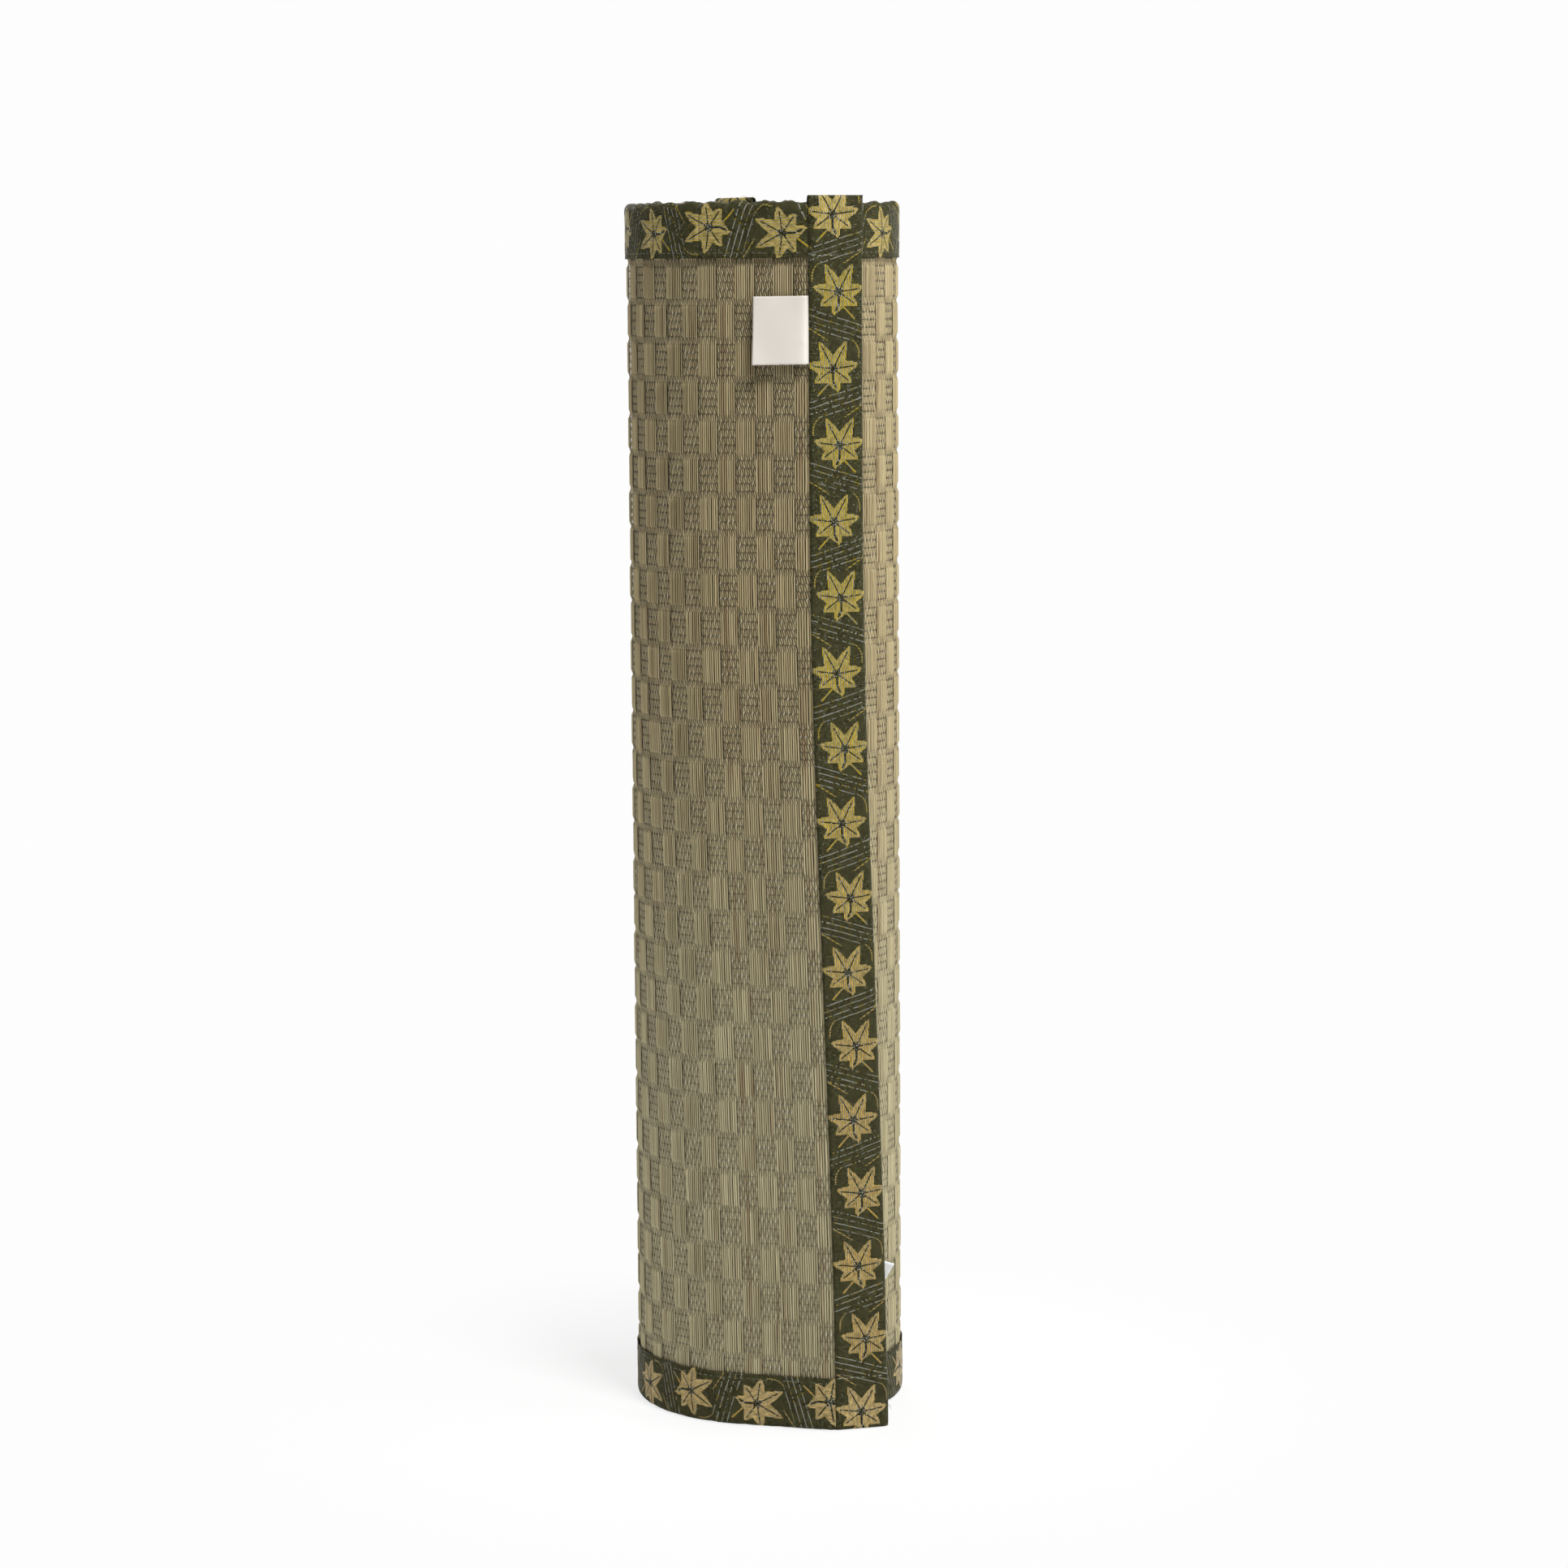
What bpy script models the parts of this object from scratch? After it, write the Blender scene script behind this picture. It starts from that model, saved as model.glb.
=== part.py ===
"""A yoga mat of woven rush, rolled up with its rush side out and stood on end.

The mat is a rush face on a soft non-slip backing. A folded tape binds each of its two
long edges, which here are the roll's top and bottom, and a wider folded band binds each
of its two ends. Seen from above, the free end leaves the roll at the front and points to
the right, and from there the sheet winds clockwise to the hollow core. The free end
stands off the roll, creased beside its band, and swings out on an upright hinge line.
A cloth label is caught under the edge of its band.

Places in plan are given by how far the sheet has been followed and by an offset from its
middle line, positive on the rush side. Lengths are in metres, +Z is up, and the origin is
on the floor under the middle of the whole part.
"""

import math

import bmesh
import bpy
from mathutils import Matrix, Vector

# The layers of the mat
MAT_WIDTH = 0.600
FACE_THICKNESS = 0.0020
BACKING_THICKNESS = 0.0026
TAPE_THICKNESS = 0.0004
TAPE_WIDTH = 0.0265
BAND_WIDTH = 0.0266
BAND_RISE = 0.003
CLEARANCE = 0.0003

# The sewing
SEAM_THICKNESS = 0.0003
SEAM_WIDTH = 0.0007
SEAM_INSET = 0.0022

# The roll
ROLL_RADIUS = 0.0678
LAYER_GAP = 0.0004
ROLL_TURNS = 6.18
STATIONS_PER_TURN = 32
LEAVING_AZIMUTH = math.radians(-11.5)

# The free end
FREE_LENGTH = 0.0462
END_SLANT = 0.0107
CREASE_ANGLE = math.radians(29)

# The label and the scrap of film behind the free end
LABEL_WIDTH = 0.0268
LABEL_HEIGHT = 0.0335
LABEL_THICKNESS = 0.0004
LABEL_HEM = 0.0060
LABEL_DROP = 0.0455
FILM_SIDE = 0.013
FILM_THICKNESS = 0.0002
FILM_HEIGHT = 0.0735
FILM_REACH = 0.0052
FILM_TILT = math.radians(28)

# Offsets from the sheet's middle line to the surfaces of its layers
FACE_OUTSIDE = CLEARANCE / 2 + FACE_THICKNESS
BACKING_INSIDE = -CLEARANCE / 2 - BACKING_THICKNESS
TAPE_OUTSIDE = FACE_OUTSIDE + CLEARANCE + TAPE_THICKNESS
TAPE_INSIDE = BACKING_INSIDE - CLEARANCE - TAPE_THICKNESS
SEAM_OUTSIDE = TAPE_OUTSIDE + CLEARANCE + SEAM_THICKNESS
BAND_OUTSIDE = TAPE_OUTSIDE + CLEARANCE + TAPE_THICKNESS
BAND_INSIDE = TAPE_INSIDE - CLEARANCE - TAPE_THICKNESS

# What follows from the sizes
PITCH = SEAM_OUTSIDE - TAPE_INSIDE + LAYER_GAP
WALL_GAP = TAPE_THICKNESS + CLEARANCE
BAND_MARGIN = -BAND_INSIDE * math.tan(CREASE_ANGLE / 2) + CLEARANCE
BAND_TOP = MAT_WIDTH + BAND_RISE
CORE_RADIUS = ROLL_RADIUS - PITCH * ROLL_TURNS


def unit(heading):
    """The plan vector of length one at this heading, measured from +X."""
    return Vector((math.cos(heading), math.sin(heading)))


def outward(heading):
    """The rush side of a sheet that runs along this heading towards its free end."""
    return Vector((math.sin(heading), -math.cos(heading)))


def roll_heading(turns):
    """Which way the sheet runs, this many turns in from where the free end leaves."""
    azimuth = LEAVING_AZIMUTH - math.tau * turns
    radius = ROLL_RADIUS - PITCH * turns
    return azimuth - math.atan2(PITCH, math.tau * radius)


def roll_point(turns, offset):
    """A plan point of the spiral, this many turns in."""
    azimuth = LEAVING_AZIMUTH - math.tau * turns
    radius = ROLL_RADIUS - PITCH * turns
    return outward(azimuth) * radius + outward(roll_heading(turns)) * offset


def turns_before_end(length):
    """How many turns in the sheet is, this far before the end of its inner band."""
    return ROLL_TURNS - length / (math.tau * CORE_RADIUS)


FREE_HEADING = roll_heading(0)
BAND_HEADING = FREE_HEADING + CREASE_ANGLE


def crease_point(height):
    """The plan point of the crease at this height: the end slants back towards the roll."""
    run = FREE_LENGTH - END_SLANT * height / MAT_WIDTH
    return roll_point(0, 0) + unit(FREE_HEADING) * run


def free_point(height, before_crease, offset):
    """A plan point of the free end's straight stretch."""
    place = crease_point(height) - unit(FREE_HEADING) * before_crease
    return place + outward(FREE_HEADING) * offset


def band_point(height, past_crease, offset):
    """A plan point of the free end's last stretch, past the crease."""
    place = crease_point(height) + unit(BAND_HEADING) * past_crease
    return place + outward(BAND_HEADING) * offset


def crease_offset(height, offset):
    """Where the two sides of the crease meet at this offset."""
    lap = offset * math.tan(CREASE_ANGLE / 2)
    return band_point(height, -lap, offset)


def free_line(height, offset, lift=0):
    """The free end from its hinge line to its tip, inside the end band."""
    tip = BAND_MARGIN + BAND_WIDTH - WALL_GAP
    start = roll_point(0, offset) + unit(FREE_HEADING) * CLEARANCE
    crease = crease_offset(height, offset)
    end = band_point(height, tip, offset)
    heights = (height, height + lift, height + lift)
    return [(*place, level) for place, level in zip((start, crease, end), heights)]


def roll_stations(last):
    """Turns at which the spiral has a point, from the hinge line to `last`."""
    count = math.ceil(last * STATIONS_PER_TURN)
    return [index / STATIONS_PER_TURN for index in range(count)] + [last]


def roll_line(height, offset, lift=0, last=None):
    """The spiral at one height, lifted where it runs into the inner end band."""
    if last is None:
        last = turns_before_end(WALL_GAP)
    lifted = turns_before_end(BAND_WIDTH + CLEARANCE)
    line = []
    for turns in roll_stations(last):
        level = height + lift if turns > lifted - 1 / STATIONS_PER_TURN else height
        line.append((*roll_point(turns, offset), level))
    return line


def matte(name, colour, roughness):
    """A plain surface."""
    material = bpy.data.materials.new(name)
    material.use_nodes = True
    shader = material.node_tree.nodes["Principled BSDF"]
    shader.inputs["Base Color"].default_value = (*colour, 1)
    shader.inputs["Roughness"].default_value = roughness
    shader.inputs["Metallic"].default_value = 0
    return material


def see_through(name, colour, roughness, alpha):
    """A thin clear surface."""
    material = matte(name, colour, roughness)
    material.node_tree.nodes["Principled BSDF"].inputs["Alpha"].default_value = alpha
    return material


def face_towards(bm, first, aim):
    """Turns an open surface so that the face at its first edge looks along `aim`."""
    bmesh.ops.recalc_face_normals(bm, faces=bm.faces[:])
    edge = bm.edges.get(first[:2])
    if edge.link_faces[0].normal.dot(aim) < 0:
        bmesh.ops.reverse_faces(bm, faces=bm.faces[:])


def swept_surface(rows, closed=False):
    """An open surface: the first row as a line of edges, extruded through the others."""
    bm = bmesh.new()
    station = bm.verts.layers.int.new("station")
    first = [bm.verts.new(place) for place in rows[0]]
    for index, vertex in enumerate(first):
        vertex[station] = index
    followers = first[1:] + first[:1] if closed else first[1:]
    edges = [bm.edges.new(pair) for pair in zip(first, followers)]
    for row in rows[1:]:
        made = bmesh.ops.extrude_edge_only(bm, edges=edges)["geom"]
        for vertex in (item for item in made if isinstance(item, bmesh.types.BMVert)):
            vertex.co = row[vertex[station]]
        edges = [
            item
            for item in made
            if isinstance(item, bmesh.types.BMEdge)
            and abs(item.verts[0][station] - item.verts[1][station]) in (1, len(row) - 1)
        ]
    return bm, first


def sheet_object(name, bm, thickness, material, collection):
    """A sheet of one thickness, grown from an open surface along its normals."""
    mesh = bpy.data.meshes.new(name)
    bm.to_mesh(mesh)
    bm.free()
    mesh.materials.append(material)
    made = bpy.data.objects.new(name, mesh)
    collection.objects.link(made)
    solidify = made.modifiers.new("thickness", "SOLIDIFY")
    solidify.thickness = thickness
    solidify.offset = 1
    solidify.use_even_offset = True
    return made


def strip(name, rows, thickness, aim, material, collection):
    """A solid strip between rows of points, grown towards `aim` at its start."""
    bm, first = swept_surface(rows)
    face_towards(bm, first, Vector((*aim, 0)))
    return sheet_object(name, bm, thickness, material, collection)


def layer(name, line, offset, thickness, aim, material, collection):
    """One of the mat's two layers, between the webs of its edge tapes."""
    rows = [line(WALL_GAP, offset, lift=WALL_GAP), line(MAT_WIDTH - WALL_GAP, offset)]
    return strip(name, rows, thickness, aim, material, collection)


def edge_tape(name, line, at_top, aim, material, collection):
    """A tape folded over a long edge of the mat, open towards the middle of the mat."""
    inside = BACKING_INSIDE - CLEARANCE
    outside = FACE_OUTSIDE + CLEARANCE
    if at_top:
        edge, web, lift = MAT_WIDTH - TAPE_WIDTH, MAT_WIDTH - TAPE_THICKNESS, 0
    else:
        edge, web, lift = TAPE_WIDTH, TAPE_THICKNESS, WALL_GAP
    rows = [
        line(edge, inside),
        line(web, inside, lift=lift),
        line(web, outside, lift=lift),
        line(edge, outside),
    ]
    return strip(name, rows, TAPE_THICKNESS, -aim, material, collection)


def seam_heights(at_top):
    """The two heights between which a long edge's seam runs."""
    low = TAPE_WIDTH - SEAM_INSET - SEAM_WIDTH
    high = TAPE_WIDTH - SEAM_INSET
    return (MAT_WIDTH - high, MAT_WIDTH - low) if at_top else (low, high)


def free_seam_line(height, offset):
    """The stretch of a long edge's seam on the free end, up to the band."""
    start = roll_point(0, offset) + unit(FREE_HEADING) * CLEARANCE
    end = free_point(height, CLEARANCE, offset)
    return [(*start, height), (*end, height)]


def roll_seam_line(height, offset):
    """The stretch of a long edge's seam on the roll, up to the inner band."""
    return roll_line(height, offset, last=turns_before_end(BAND_WIDTH + CLEARANCE))


def edge_seam(name, line, at_top, aim, material, collection):
    """The line of thread that holds a long edge's tape."""
    offset = TAPE_OUTSIDE + CLEARANCE
    rows = [line(height, offset) for height in seam_heights(at_top)]
    return strip(name, rows, SEAM_THICKNESS, aim, material, collection)


def band(name, places, material, collection):
    """An end band: a pocket round the end of the mat, closed at its tip, top and bottom.

    `places` gives, from the tip inwards, a function from a height and an offset to a
    plan point.
    """
    inside = BAND_INSIDE + TAPE_THICKNESS
    outside = BAND_OUTSIDE - TAPE_THICKNESS
    low, high = TAPE_THICKNESS, BAND_TOP - TAPE_THICKNESS
    corners = ((low, inside), (low, outside), (high, outside), (high, inside))
    rows = [[(*place(*corner), corner[0]) for corner in corners] for place in places]
    bm, first = swept_surface(rows, closed=True)
    bm.faces.new(first)
    bmesh.ops.recalc_face_normals(bm, faces=bm.faces[:])
    bm.faces.ensure_lookup_table()
    middle = sum((Vector(corner) for row in rows for corner in row), Vector()) / (4 * len(rows))
    tip = bm.faces[-1]
    if tip.normal.dot(tip.calc_center_median() - middle) < 0:
        bmesh.ops.reverse_faces(bm, faces=bm.faces[:])
    return sheet_object(name, bm, TAPE_THICKNESS, material, collection)


def outer_band(material, collection):
    """The band on the free end, flat past the crease."""
    spans = (BAND_MARGIN + BAND_WIDTH - TAPE_THICKNESS, BAND_MARGIN)

    def at(span):
        return lambda height, offset: band_point(height, span, offset)

    return band("outer_end_band", [at(span) for span in spans], material, collection)


def inner_band_stations():
    """Turns at which the inner band has a section, from its tip outwards."""
    tip = turns_before_end(TAPE_THICKNESS)
    edge = turns_before_end(BAND_WIDTH)
    first = math.ceil(edge * STATIONS_PER_TURN)
    last = math.floor(tip * STATIONS_PER_TURN)
    between = [index / STATIONS_PER_TURN for index in range(last, first - 1, -1)]
    return [tip] + between + [edge]


def inner_band(material, collection):
    """The band on the mat's other end, curled in the core."""

    def at(turns):
        return lambda height, offset: roll_point(turns, offset)

    places = [at(turns) for turns in inner_band_stations()]
    return band("inner_end_band", places, material, collection)


def outer_band_seams(material, collection):
    """The upright seam along the free end's band, and one across it at each end."""
    offset = BAND_OUTSIDE + CLEARANCE
    aim = outward(BAND_HEADING)
    near = BAND_MARGIN + SEAM_INSET
    far = near + SEAM_WIDTH
    ends = (TAPE_THICKNESS, BAND_TOP - TAPE_THICKNESS)
    upright = [
        [(*band_point(height, span, offset), height) for height in ends]
        for span in (near, far)
    ]
    made = [strip("outer_band_seam", upright, SEAM_THICKNESS, aim, material, collection)]
    tip = BAND_MARGIN + BAND_WIDTH
    for name, at_top in (("outer_band_foot_seam", False), ("outer_band_head_seam", True)):
        across = [
            [(*band_point(height, span, offset), height) for span in (far + CLEARANCE, tip)]
            for height in seam_heights(at_top)
        ]
        made.append(strip(name, across, SEAM_THICKNESS, aim, material, collection))
    return made


def inner_band_seams(material, collection):
    """The same three seams on the inner band, on the side that faces the core."""
    offset = BAND_INSIDE - CLEARANCE
    near = turns_before_end(BAND_WIDTH - SEAM_INSET)
    far = turns_before_end(BAND_WIDTH - SEAM_INSET - SEAM_WIDTH)
    ends = (TAPE_THICKNESS, BAND_TOP - TAPE_THICKNESS)
    upright = [
        [(*roll_point(turns, offset), height) for height in ends] for turns in (near, far)
    ]
    aim = -outward(roll_heading(near))
    made = [strip("inner_band_seam", upright, SEAM_THICKNESS, aim, material, collection)]
    clear = turns_before_end(BAND_WIDTH - SEAM_INSET - SEAM_WIDTH - CLEARANCE)
    stations = [turns for turns in inner_band_stations() if turns > clear] + [clear]
    aim = -outward(roll_heading(stations[0]))
    for name, at_top in (("inner_band_foot_seam", False), ("inner_band_head_seam", True)):
        across = [
            [(*roll_point(turns, offset), height) for turns in stations]
            for height in seam_heights(at_top)
        ]
        made.append(strip(name, across, SEAM_THICKNESS, aim, material, collection))
    return made


def label(material, collection):
    """The label's loose part, and its hem between the rush face and the band."""
    offset = FACE_OUTSIDE + CLEARANCE
    top = MAT_WIDTH - LABEL_DROP
    heights = (top - LABEL_HEIGHT, top)
    loose = [
        [(*free_point(height, span, offset), height) for span in (LABEL_WIDTH, CLEARANCE)]
        for height in heights
    ]
    hem = [
        [(*band_point(height, span, offset), height) for span in (CLEARANCE, LABEL_HEM)]
        for height in heights
    ]
    aims = outward(FREE_HEADING), outward(BAND_HEADING)
    return (
        strip("label", loose, LABEL_THICKNESS, aims[0], material, collection),
        strip("label_hem", hem, LABEL_THICKNESS, aims[1], material, collection),
    )


def film_scrap(material, collection):
    """A square of thin film behind the free end's band, one corner past its tip."""
    bm = bmesh.new()
    bmesh.ops.create_cube(bm, size=1)
    bmesh.ops.scale(bm, vec=(FILM_SIDE, FILM_THICKNESS, FILM_SIDE), verts=bm.verts[:])
    bmesh.ops.rotate(bm, matrix=Matrix.Rotation(FILM_TILT, 3, "Y"), verts=bm.verts[:])
    mesh = bpy.data.meshes.new("film_scrap")
    bm.to_mesh(mesh)
    bm.free()
    mesh.materials.append(material)
    made = bpy.data.objects.new("film_scrap", mesh)
    half_diagonal = FILM_SIDE * (math.cos(FILM_TILT) + math.sin(FILM_TILT)) / 2
    past = BAND_MARGIN + BAND_WIDTH + FILM_REACH - half_diagonal
    offset = BAND_INSIDE - CLEARANCE - FILM_THICKNESS / 2
    place = band_point(FILM_HEIGHT, past, offset)
    mesh.transform(Matrix.Translation((*place, FILM_HEIGHT)) @ Matrix.Rotation(BAND_HEADING, 4, "Z"))
    collection.objects.link(made)
    return made


def hinge(name, foot, head, parent, collection):
    """An empty at the foot of a hinge line, its own Z axis up along that line."""
    made = bpy.data.objects.new(name, None)
    made.empty_display_type = "ARROWS"
    made.empty_display_size = TAPE_WIDTH
    turn = Vector((0, 0, 1)).rotation_difference(Vector(head) - Vector(foot))
    made.matrix_world = Matrix.Translation(foot) @ turn.to_matrix().to_4x4()
    collection.objects.link(made)
    bpy.context.view_layer.update()
    carry(made, parent)
    return made


def carry(made, parent):
    """Parents an object without moving it."""
    if made.type == "MESH":
        made.data.transform(parent.matrix_world.inverted())
        made.parent = parent
    else:
        made.parent = parent
        made.matrix_parent_inverse = parent.matrix_world.inverted()
    bpy.context.view_layer.update()


def bounds(objects):
    """The corners of the box round these objects, as they are evaluated."""
    graph = bpy.context.evaluated_depsgraph_get()
    corners = []
    for made in objects:
        evaluated = made.evaluated_get(graph)
        mesh = evaluated.to_mesh()
        corners += [evaluated.matrix_world @ vertex.co for vertex in mesh.vertices]
        evaluated.to_mesh_clear()
    low = Vector(min(corner[axis] for corner in corners) for axis in range(3))
    high = Vector(max(corner[axis] for corner in corners) for axis in range(3))
    return low, high


def build_sheet(prefix, line, seam_line, aim, finishes, collection):
    """The mat's layers, edge tapes and their seams along one stretch of the sheet."""
    rush, rubber, brocade, thread = finishes
    face_offset, backing_offset = CLEARANCE / 2, -CLEARANCE / 2
    made = [
        layer(prefix + "_rush_face", line, face_offset, FACE_THICKNESS, aim, rush, collection),
        layer(prefix + "_backing", line, backing_offset, BACKING_THICKNESS, -aim, rubber, collection),
    ]
    for place, at_top in (("_foot", False), ("_head", True)):
        tape = prefix + place + "_tape"
        seam = prefix + place + "_seam"
        made.append(edge_tape(tape, line, at_top, aim, brocade, collection))
        made.append(edge_seam(seam, seam_line, at_top, aim, thread, collection))
    return made


def build():
    """Builds the mat and returns its parts and its hinges."""
    for old in list(bpy.data.objects):
        bpy.data.objects.remove(old, do_unlink=True)
    parts = bpy.data.collections.new("yoga_mat")
    bpy.context.scene.collection.children.link(parts)

    rush = matte("rush", (0.36, 0.31, 0.18), 0.65)
    rubber = matte("backing_rubber", (0.05, 0.06, 0.04), 0.85)
    brocade = matte("brocade_tape", (0.07, 0.085, 0.035), 0.6)
    thread = matte("seam_thread", (0.035, 0.05, 0.02), 0.7)
    cotton = matte("label_cotton", (0.80, 0.76, 0.69), 0.9)
    film = see_through("clear_film", (0.9, 0.9, 0.9), 0.15, 0.35)
    finishes = (rush, rubber, brocade, thread)

    start = outward(FREE_HEADING)
    rolled = build_sheet("roll", roll_line, roll_seam_line, start, finishes, parts)
    rolled.append(inner_band(brocade, parts))
    rolled += inner_band_seams(thread, parts)
    loose = build_sheet("free_end", free_line, free_seam_line, start, finishes, parts)
    loose.append(outer_band(brocade, parts))
    loose += outer_band_seams(thread, parts)
    flap, hem = label(cotton, parts)
    loose += [hem, film_scrap(film, parts)]

    root = bpy.data.objects.new("roll_axis", None)
    parts.objects.link(root)
    foot = roll_point(0, SEAM_OUTSIDE) + unit(FREE_HEADING) * CLEARANCE / 2
    peel = hinge("peel_hinge", (*foot, 0), (*foot, MAT_WIDTH), root, parts)
    label_offset = FACE_OUTSIDE + CLEARANCE + LABEL_THICKNESS
    label_top = MAT_WIDTH - LABEL_DROP
    ends = [
        (*free_point(height, 0, label_offset), height)
        for height in (label_top - LABEL_HEIGHT, label_top)
    ]
    flip = hinge("label_hinge", *ends, peel, parts)
    for made in rolled:
        carry(made, root)
    for made in loose:
        carry(made, peel)
    carry(flap, flip)

    low, high = bounds(rolled + loose + [flap])
    root.location = (-(low.x + high.x) / 2, -(low.y + high.y) / 2, -low.z)
    bpy.context.view_layer.update()
    return rolled + loose + [flap], (root, peel, flip)


if __name__ == "__main__":
    _, hinges = build()
    for made in hinges:
        place = made.matrix_world.translation
        axis = made.matrix_world.to_3x3() @ Vector((0, 0, 1))
        print(made.name, "at", [round(value, 5) for value in place], "axis", [round(value, 5) for value in axis])
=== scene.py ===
"""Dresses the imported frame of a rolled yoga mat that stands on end.

Every sheet is made flat and then rolled. In the flat, `reach` is the way along the mat
towards its free tip, zero at the peel line where the free end leaves the roll and
negative inside the roll, `height` is up, and `offset` is measured out of the sheet's
middle line towards the rush side. Lengths are in metres unless a name ends in _mm.
"""

import logging
import math
from collections.abc import Mapping, Sequence
from dataclasses import dataclass, field
from enum import Enum

import bmesh
import bpy
import numpy as np
from mathutils import Matrix, Vector


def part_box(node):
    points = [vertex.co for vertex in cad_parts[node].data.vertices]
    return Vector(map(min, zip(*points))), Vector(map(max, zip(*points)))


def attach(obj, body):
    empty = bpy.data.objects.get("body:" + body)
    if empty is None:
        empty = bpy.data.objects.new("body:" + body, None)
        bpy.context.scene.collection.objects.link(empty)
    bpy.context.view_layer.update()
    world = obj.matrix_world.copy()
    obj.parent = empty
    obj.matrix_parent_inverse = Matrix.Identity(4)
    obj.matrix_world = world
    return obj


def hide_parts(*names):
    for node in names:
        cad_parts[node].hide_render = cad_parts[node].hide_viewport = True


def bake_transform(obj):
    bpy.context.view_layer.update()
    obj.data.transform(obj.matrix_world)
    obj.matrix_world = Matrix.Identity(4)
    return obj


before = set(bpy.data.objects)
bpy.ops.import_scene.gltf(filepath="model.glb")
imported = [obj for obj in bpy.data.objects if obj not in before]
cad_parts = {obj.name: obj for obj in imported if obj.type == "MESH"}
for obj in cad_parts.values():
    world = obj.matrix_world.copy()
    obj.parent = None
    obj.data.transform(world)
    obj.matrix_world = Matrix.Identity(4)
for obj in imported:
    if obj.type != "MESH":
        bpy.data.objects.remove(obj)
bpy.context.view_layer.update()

log = logging.getLogger("mat")

Array = np.ndarray
Colour = tuple[float, float, float, float]


def tint(code: str) -> Colour:
    """A colour from its sRGB hex code, as the linear values that shaders take."""
    parts = [int(code[i : i + 2], 16) / 255 for i in (1, 3, 5)]
    linear = [c / 12.92 if c <= 0.04045 else ((c + 0.055) / 1.055) ** 2.4 for c in parts]
    return (*linear, 1.0)


def smooth(low: float, high: float, value: Array) -> Array:
    """Smoothstep: 0 below low, 1 above high."""
    part = np.clip((np.asarray(value, float) - low) / (high - low), 0, 1)
    return part * part * (3 - 2 * part)


# ---------------------------------------------------------------- node expressions


class Value:
    """A node's output socket. Python's operators on it add Math nodes."""

    def __init__(self, nodes: "Nodes", socket: bpy.types.NodeSocket) -> None:
        """Keeps the tree's builder and the socket."""
        self.nodes = nodes
        self.socket = socket

    def other(self, name: str | int) -> "Value":
        """Another output of the same node."""
        return Value(self.nodes, self.socket.node.outputs[name])

    def math(self, operation: str, *others: "Value | float") -> "Value":
        """A Math node with this value first.

        Args:
            operation: the Math node's operation.
            others: the node's other inputs.

        Returns:
            The node's result.
        """
        inputs = dict(enumerate((self, *others)))
        return self.nodes.add("ShaderNodeMath", {"operation": operation}, inputs)

    def __add__(self, other: "Value | float") -> "Value":
        """Sum."""
        return self.math("ADD", other)

    __radd__ = __add__

    def __sub__(self, other: "Value | float") -> "Value":
        """Difference."""
        return self.math("SUBTRACT", other)

    def __rsub__(self, other: float) -> "Value":
        """A number less this value."""
        return self.nodes.add("ShaderNodeMath", {"operation": "SUBTRACT"}, {0: other, 1: self})

    def __mul__(self, other: "Value | float") -> "Value":
        """Product."""
        return self.math("MULTIPLY", other)

    __rmul__ = __mul__

    def __truediv__(self, other: "Value | float") -> "Value":
        """Quotient."""
        return self.math("DIVIDE", other)

    def __mod__(self, other: "Value | float") -> "Value":
        """Remainder, never negative."""
        return self.math("FLOORED_MODULO", other)

    def __pow__(self, other: "Value | float") -> "Value":
        """Power."""
        return self.math("POWER", other)

    def __neg__(self) -> "Value":
        """The value times -1."""
        return self.math("MULTIPLY", -1.0)

    def __lt__(self, other: "Value | float") -> "Value":
        """1 where this value is the smaller."""
        return self.math("LESS_THAN", other)

    def __gt__(self, other: "Value | float") -> "Value":
        """1 where this value is the greater."""
        return self.math("GREATER_THAN", other)

    def __abs__(self) -> "Value":
        """Size without the sign."""
        return self.math("ABSOLUTE")

    def floor(self) -> "Value":
        """The whole number below."""
        return self.math("FLOOR")

    def fraction(self) -> "Value":
        """What is left over the whole number below."""
        return self.math("FRACT")

    def least(self, other: "Value | float") -> "Value":
        """The smaller of the two."""
        return self.math("MINIMUM", other)

    def most(self, other: "Value | float") -> "Value":
        """The greater of the two."""
        return self.math("MAXIMUM", other)

    def smooth(self, low: float, high: float) -> "Value":
        """Smoothstep from 0 at low to 1 at high."""
        return self.nodes.add(
            "ShaderNodeMapRange",
            {"interpolation_type": "SMOOTHSTEP"},
            {"Value": self, "From Min": low, "From Max": high},
        )

    def toward(self, other: "Value | float", share: "Value | float") -> "Value":
        """This value moved towards another by a share."""
        return self + (other - self) * share


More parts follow.
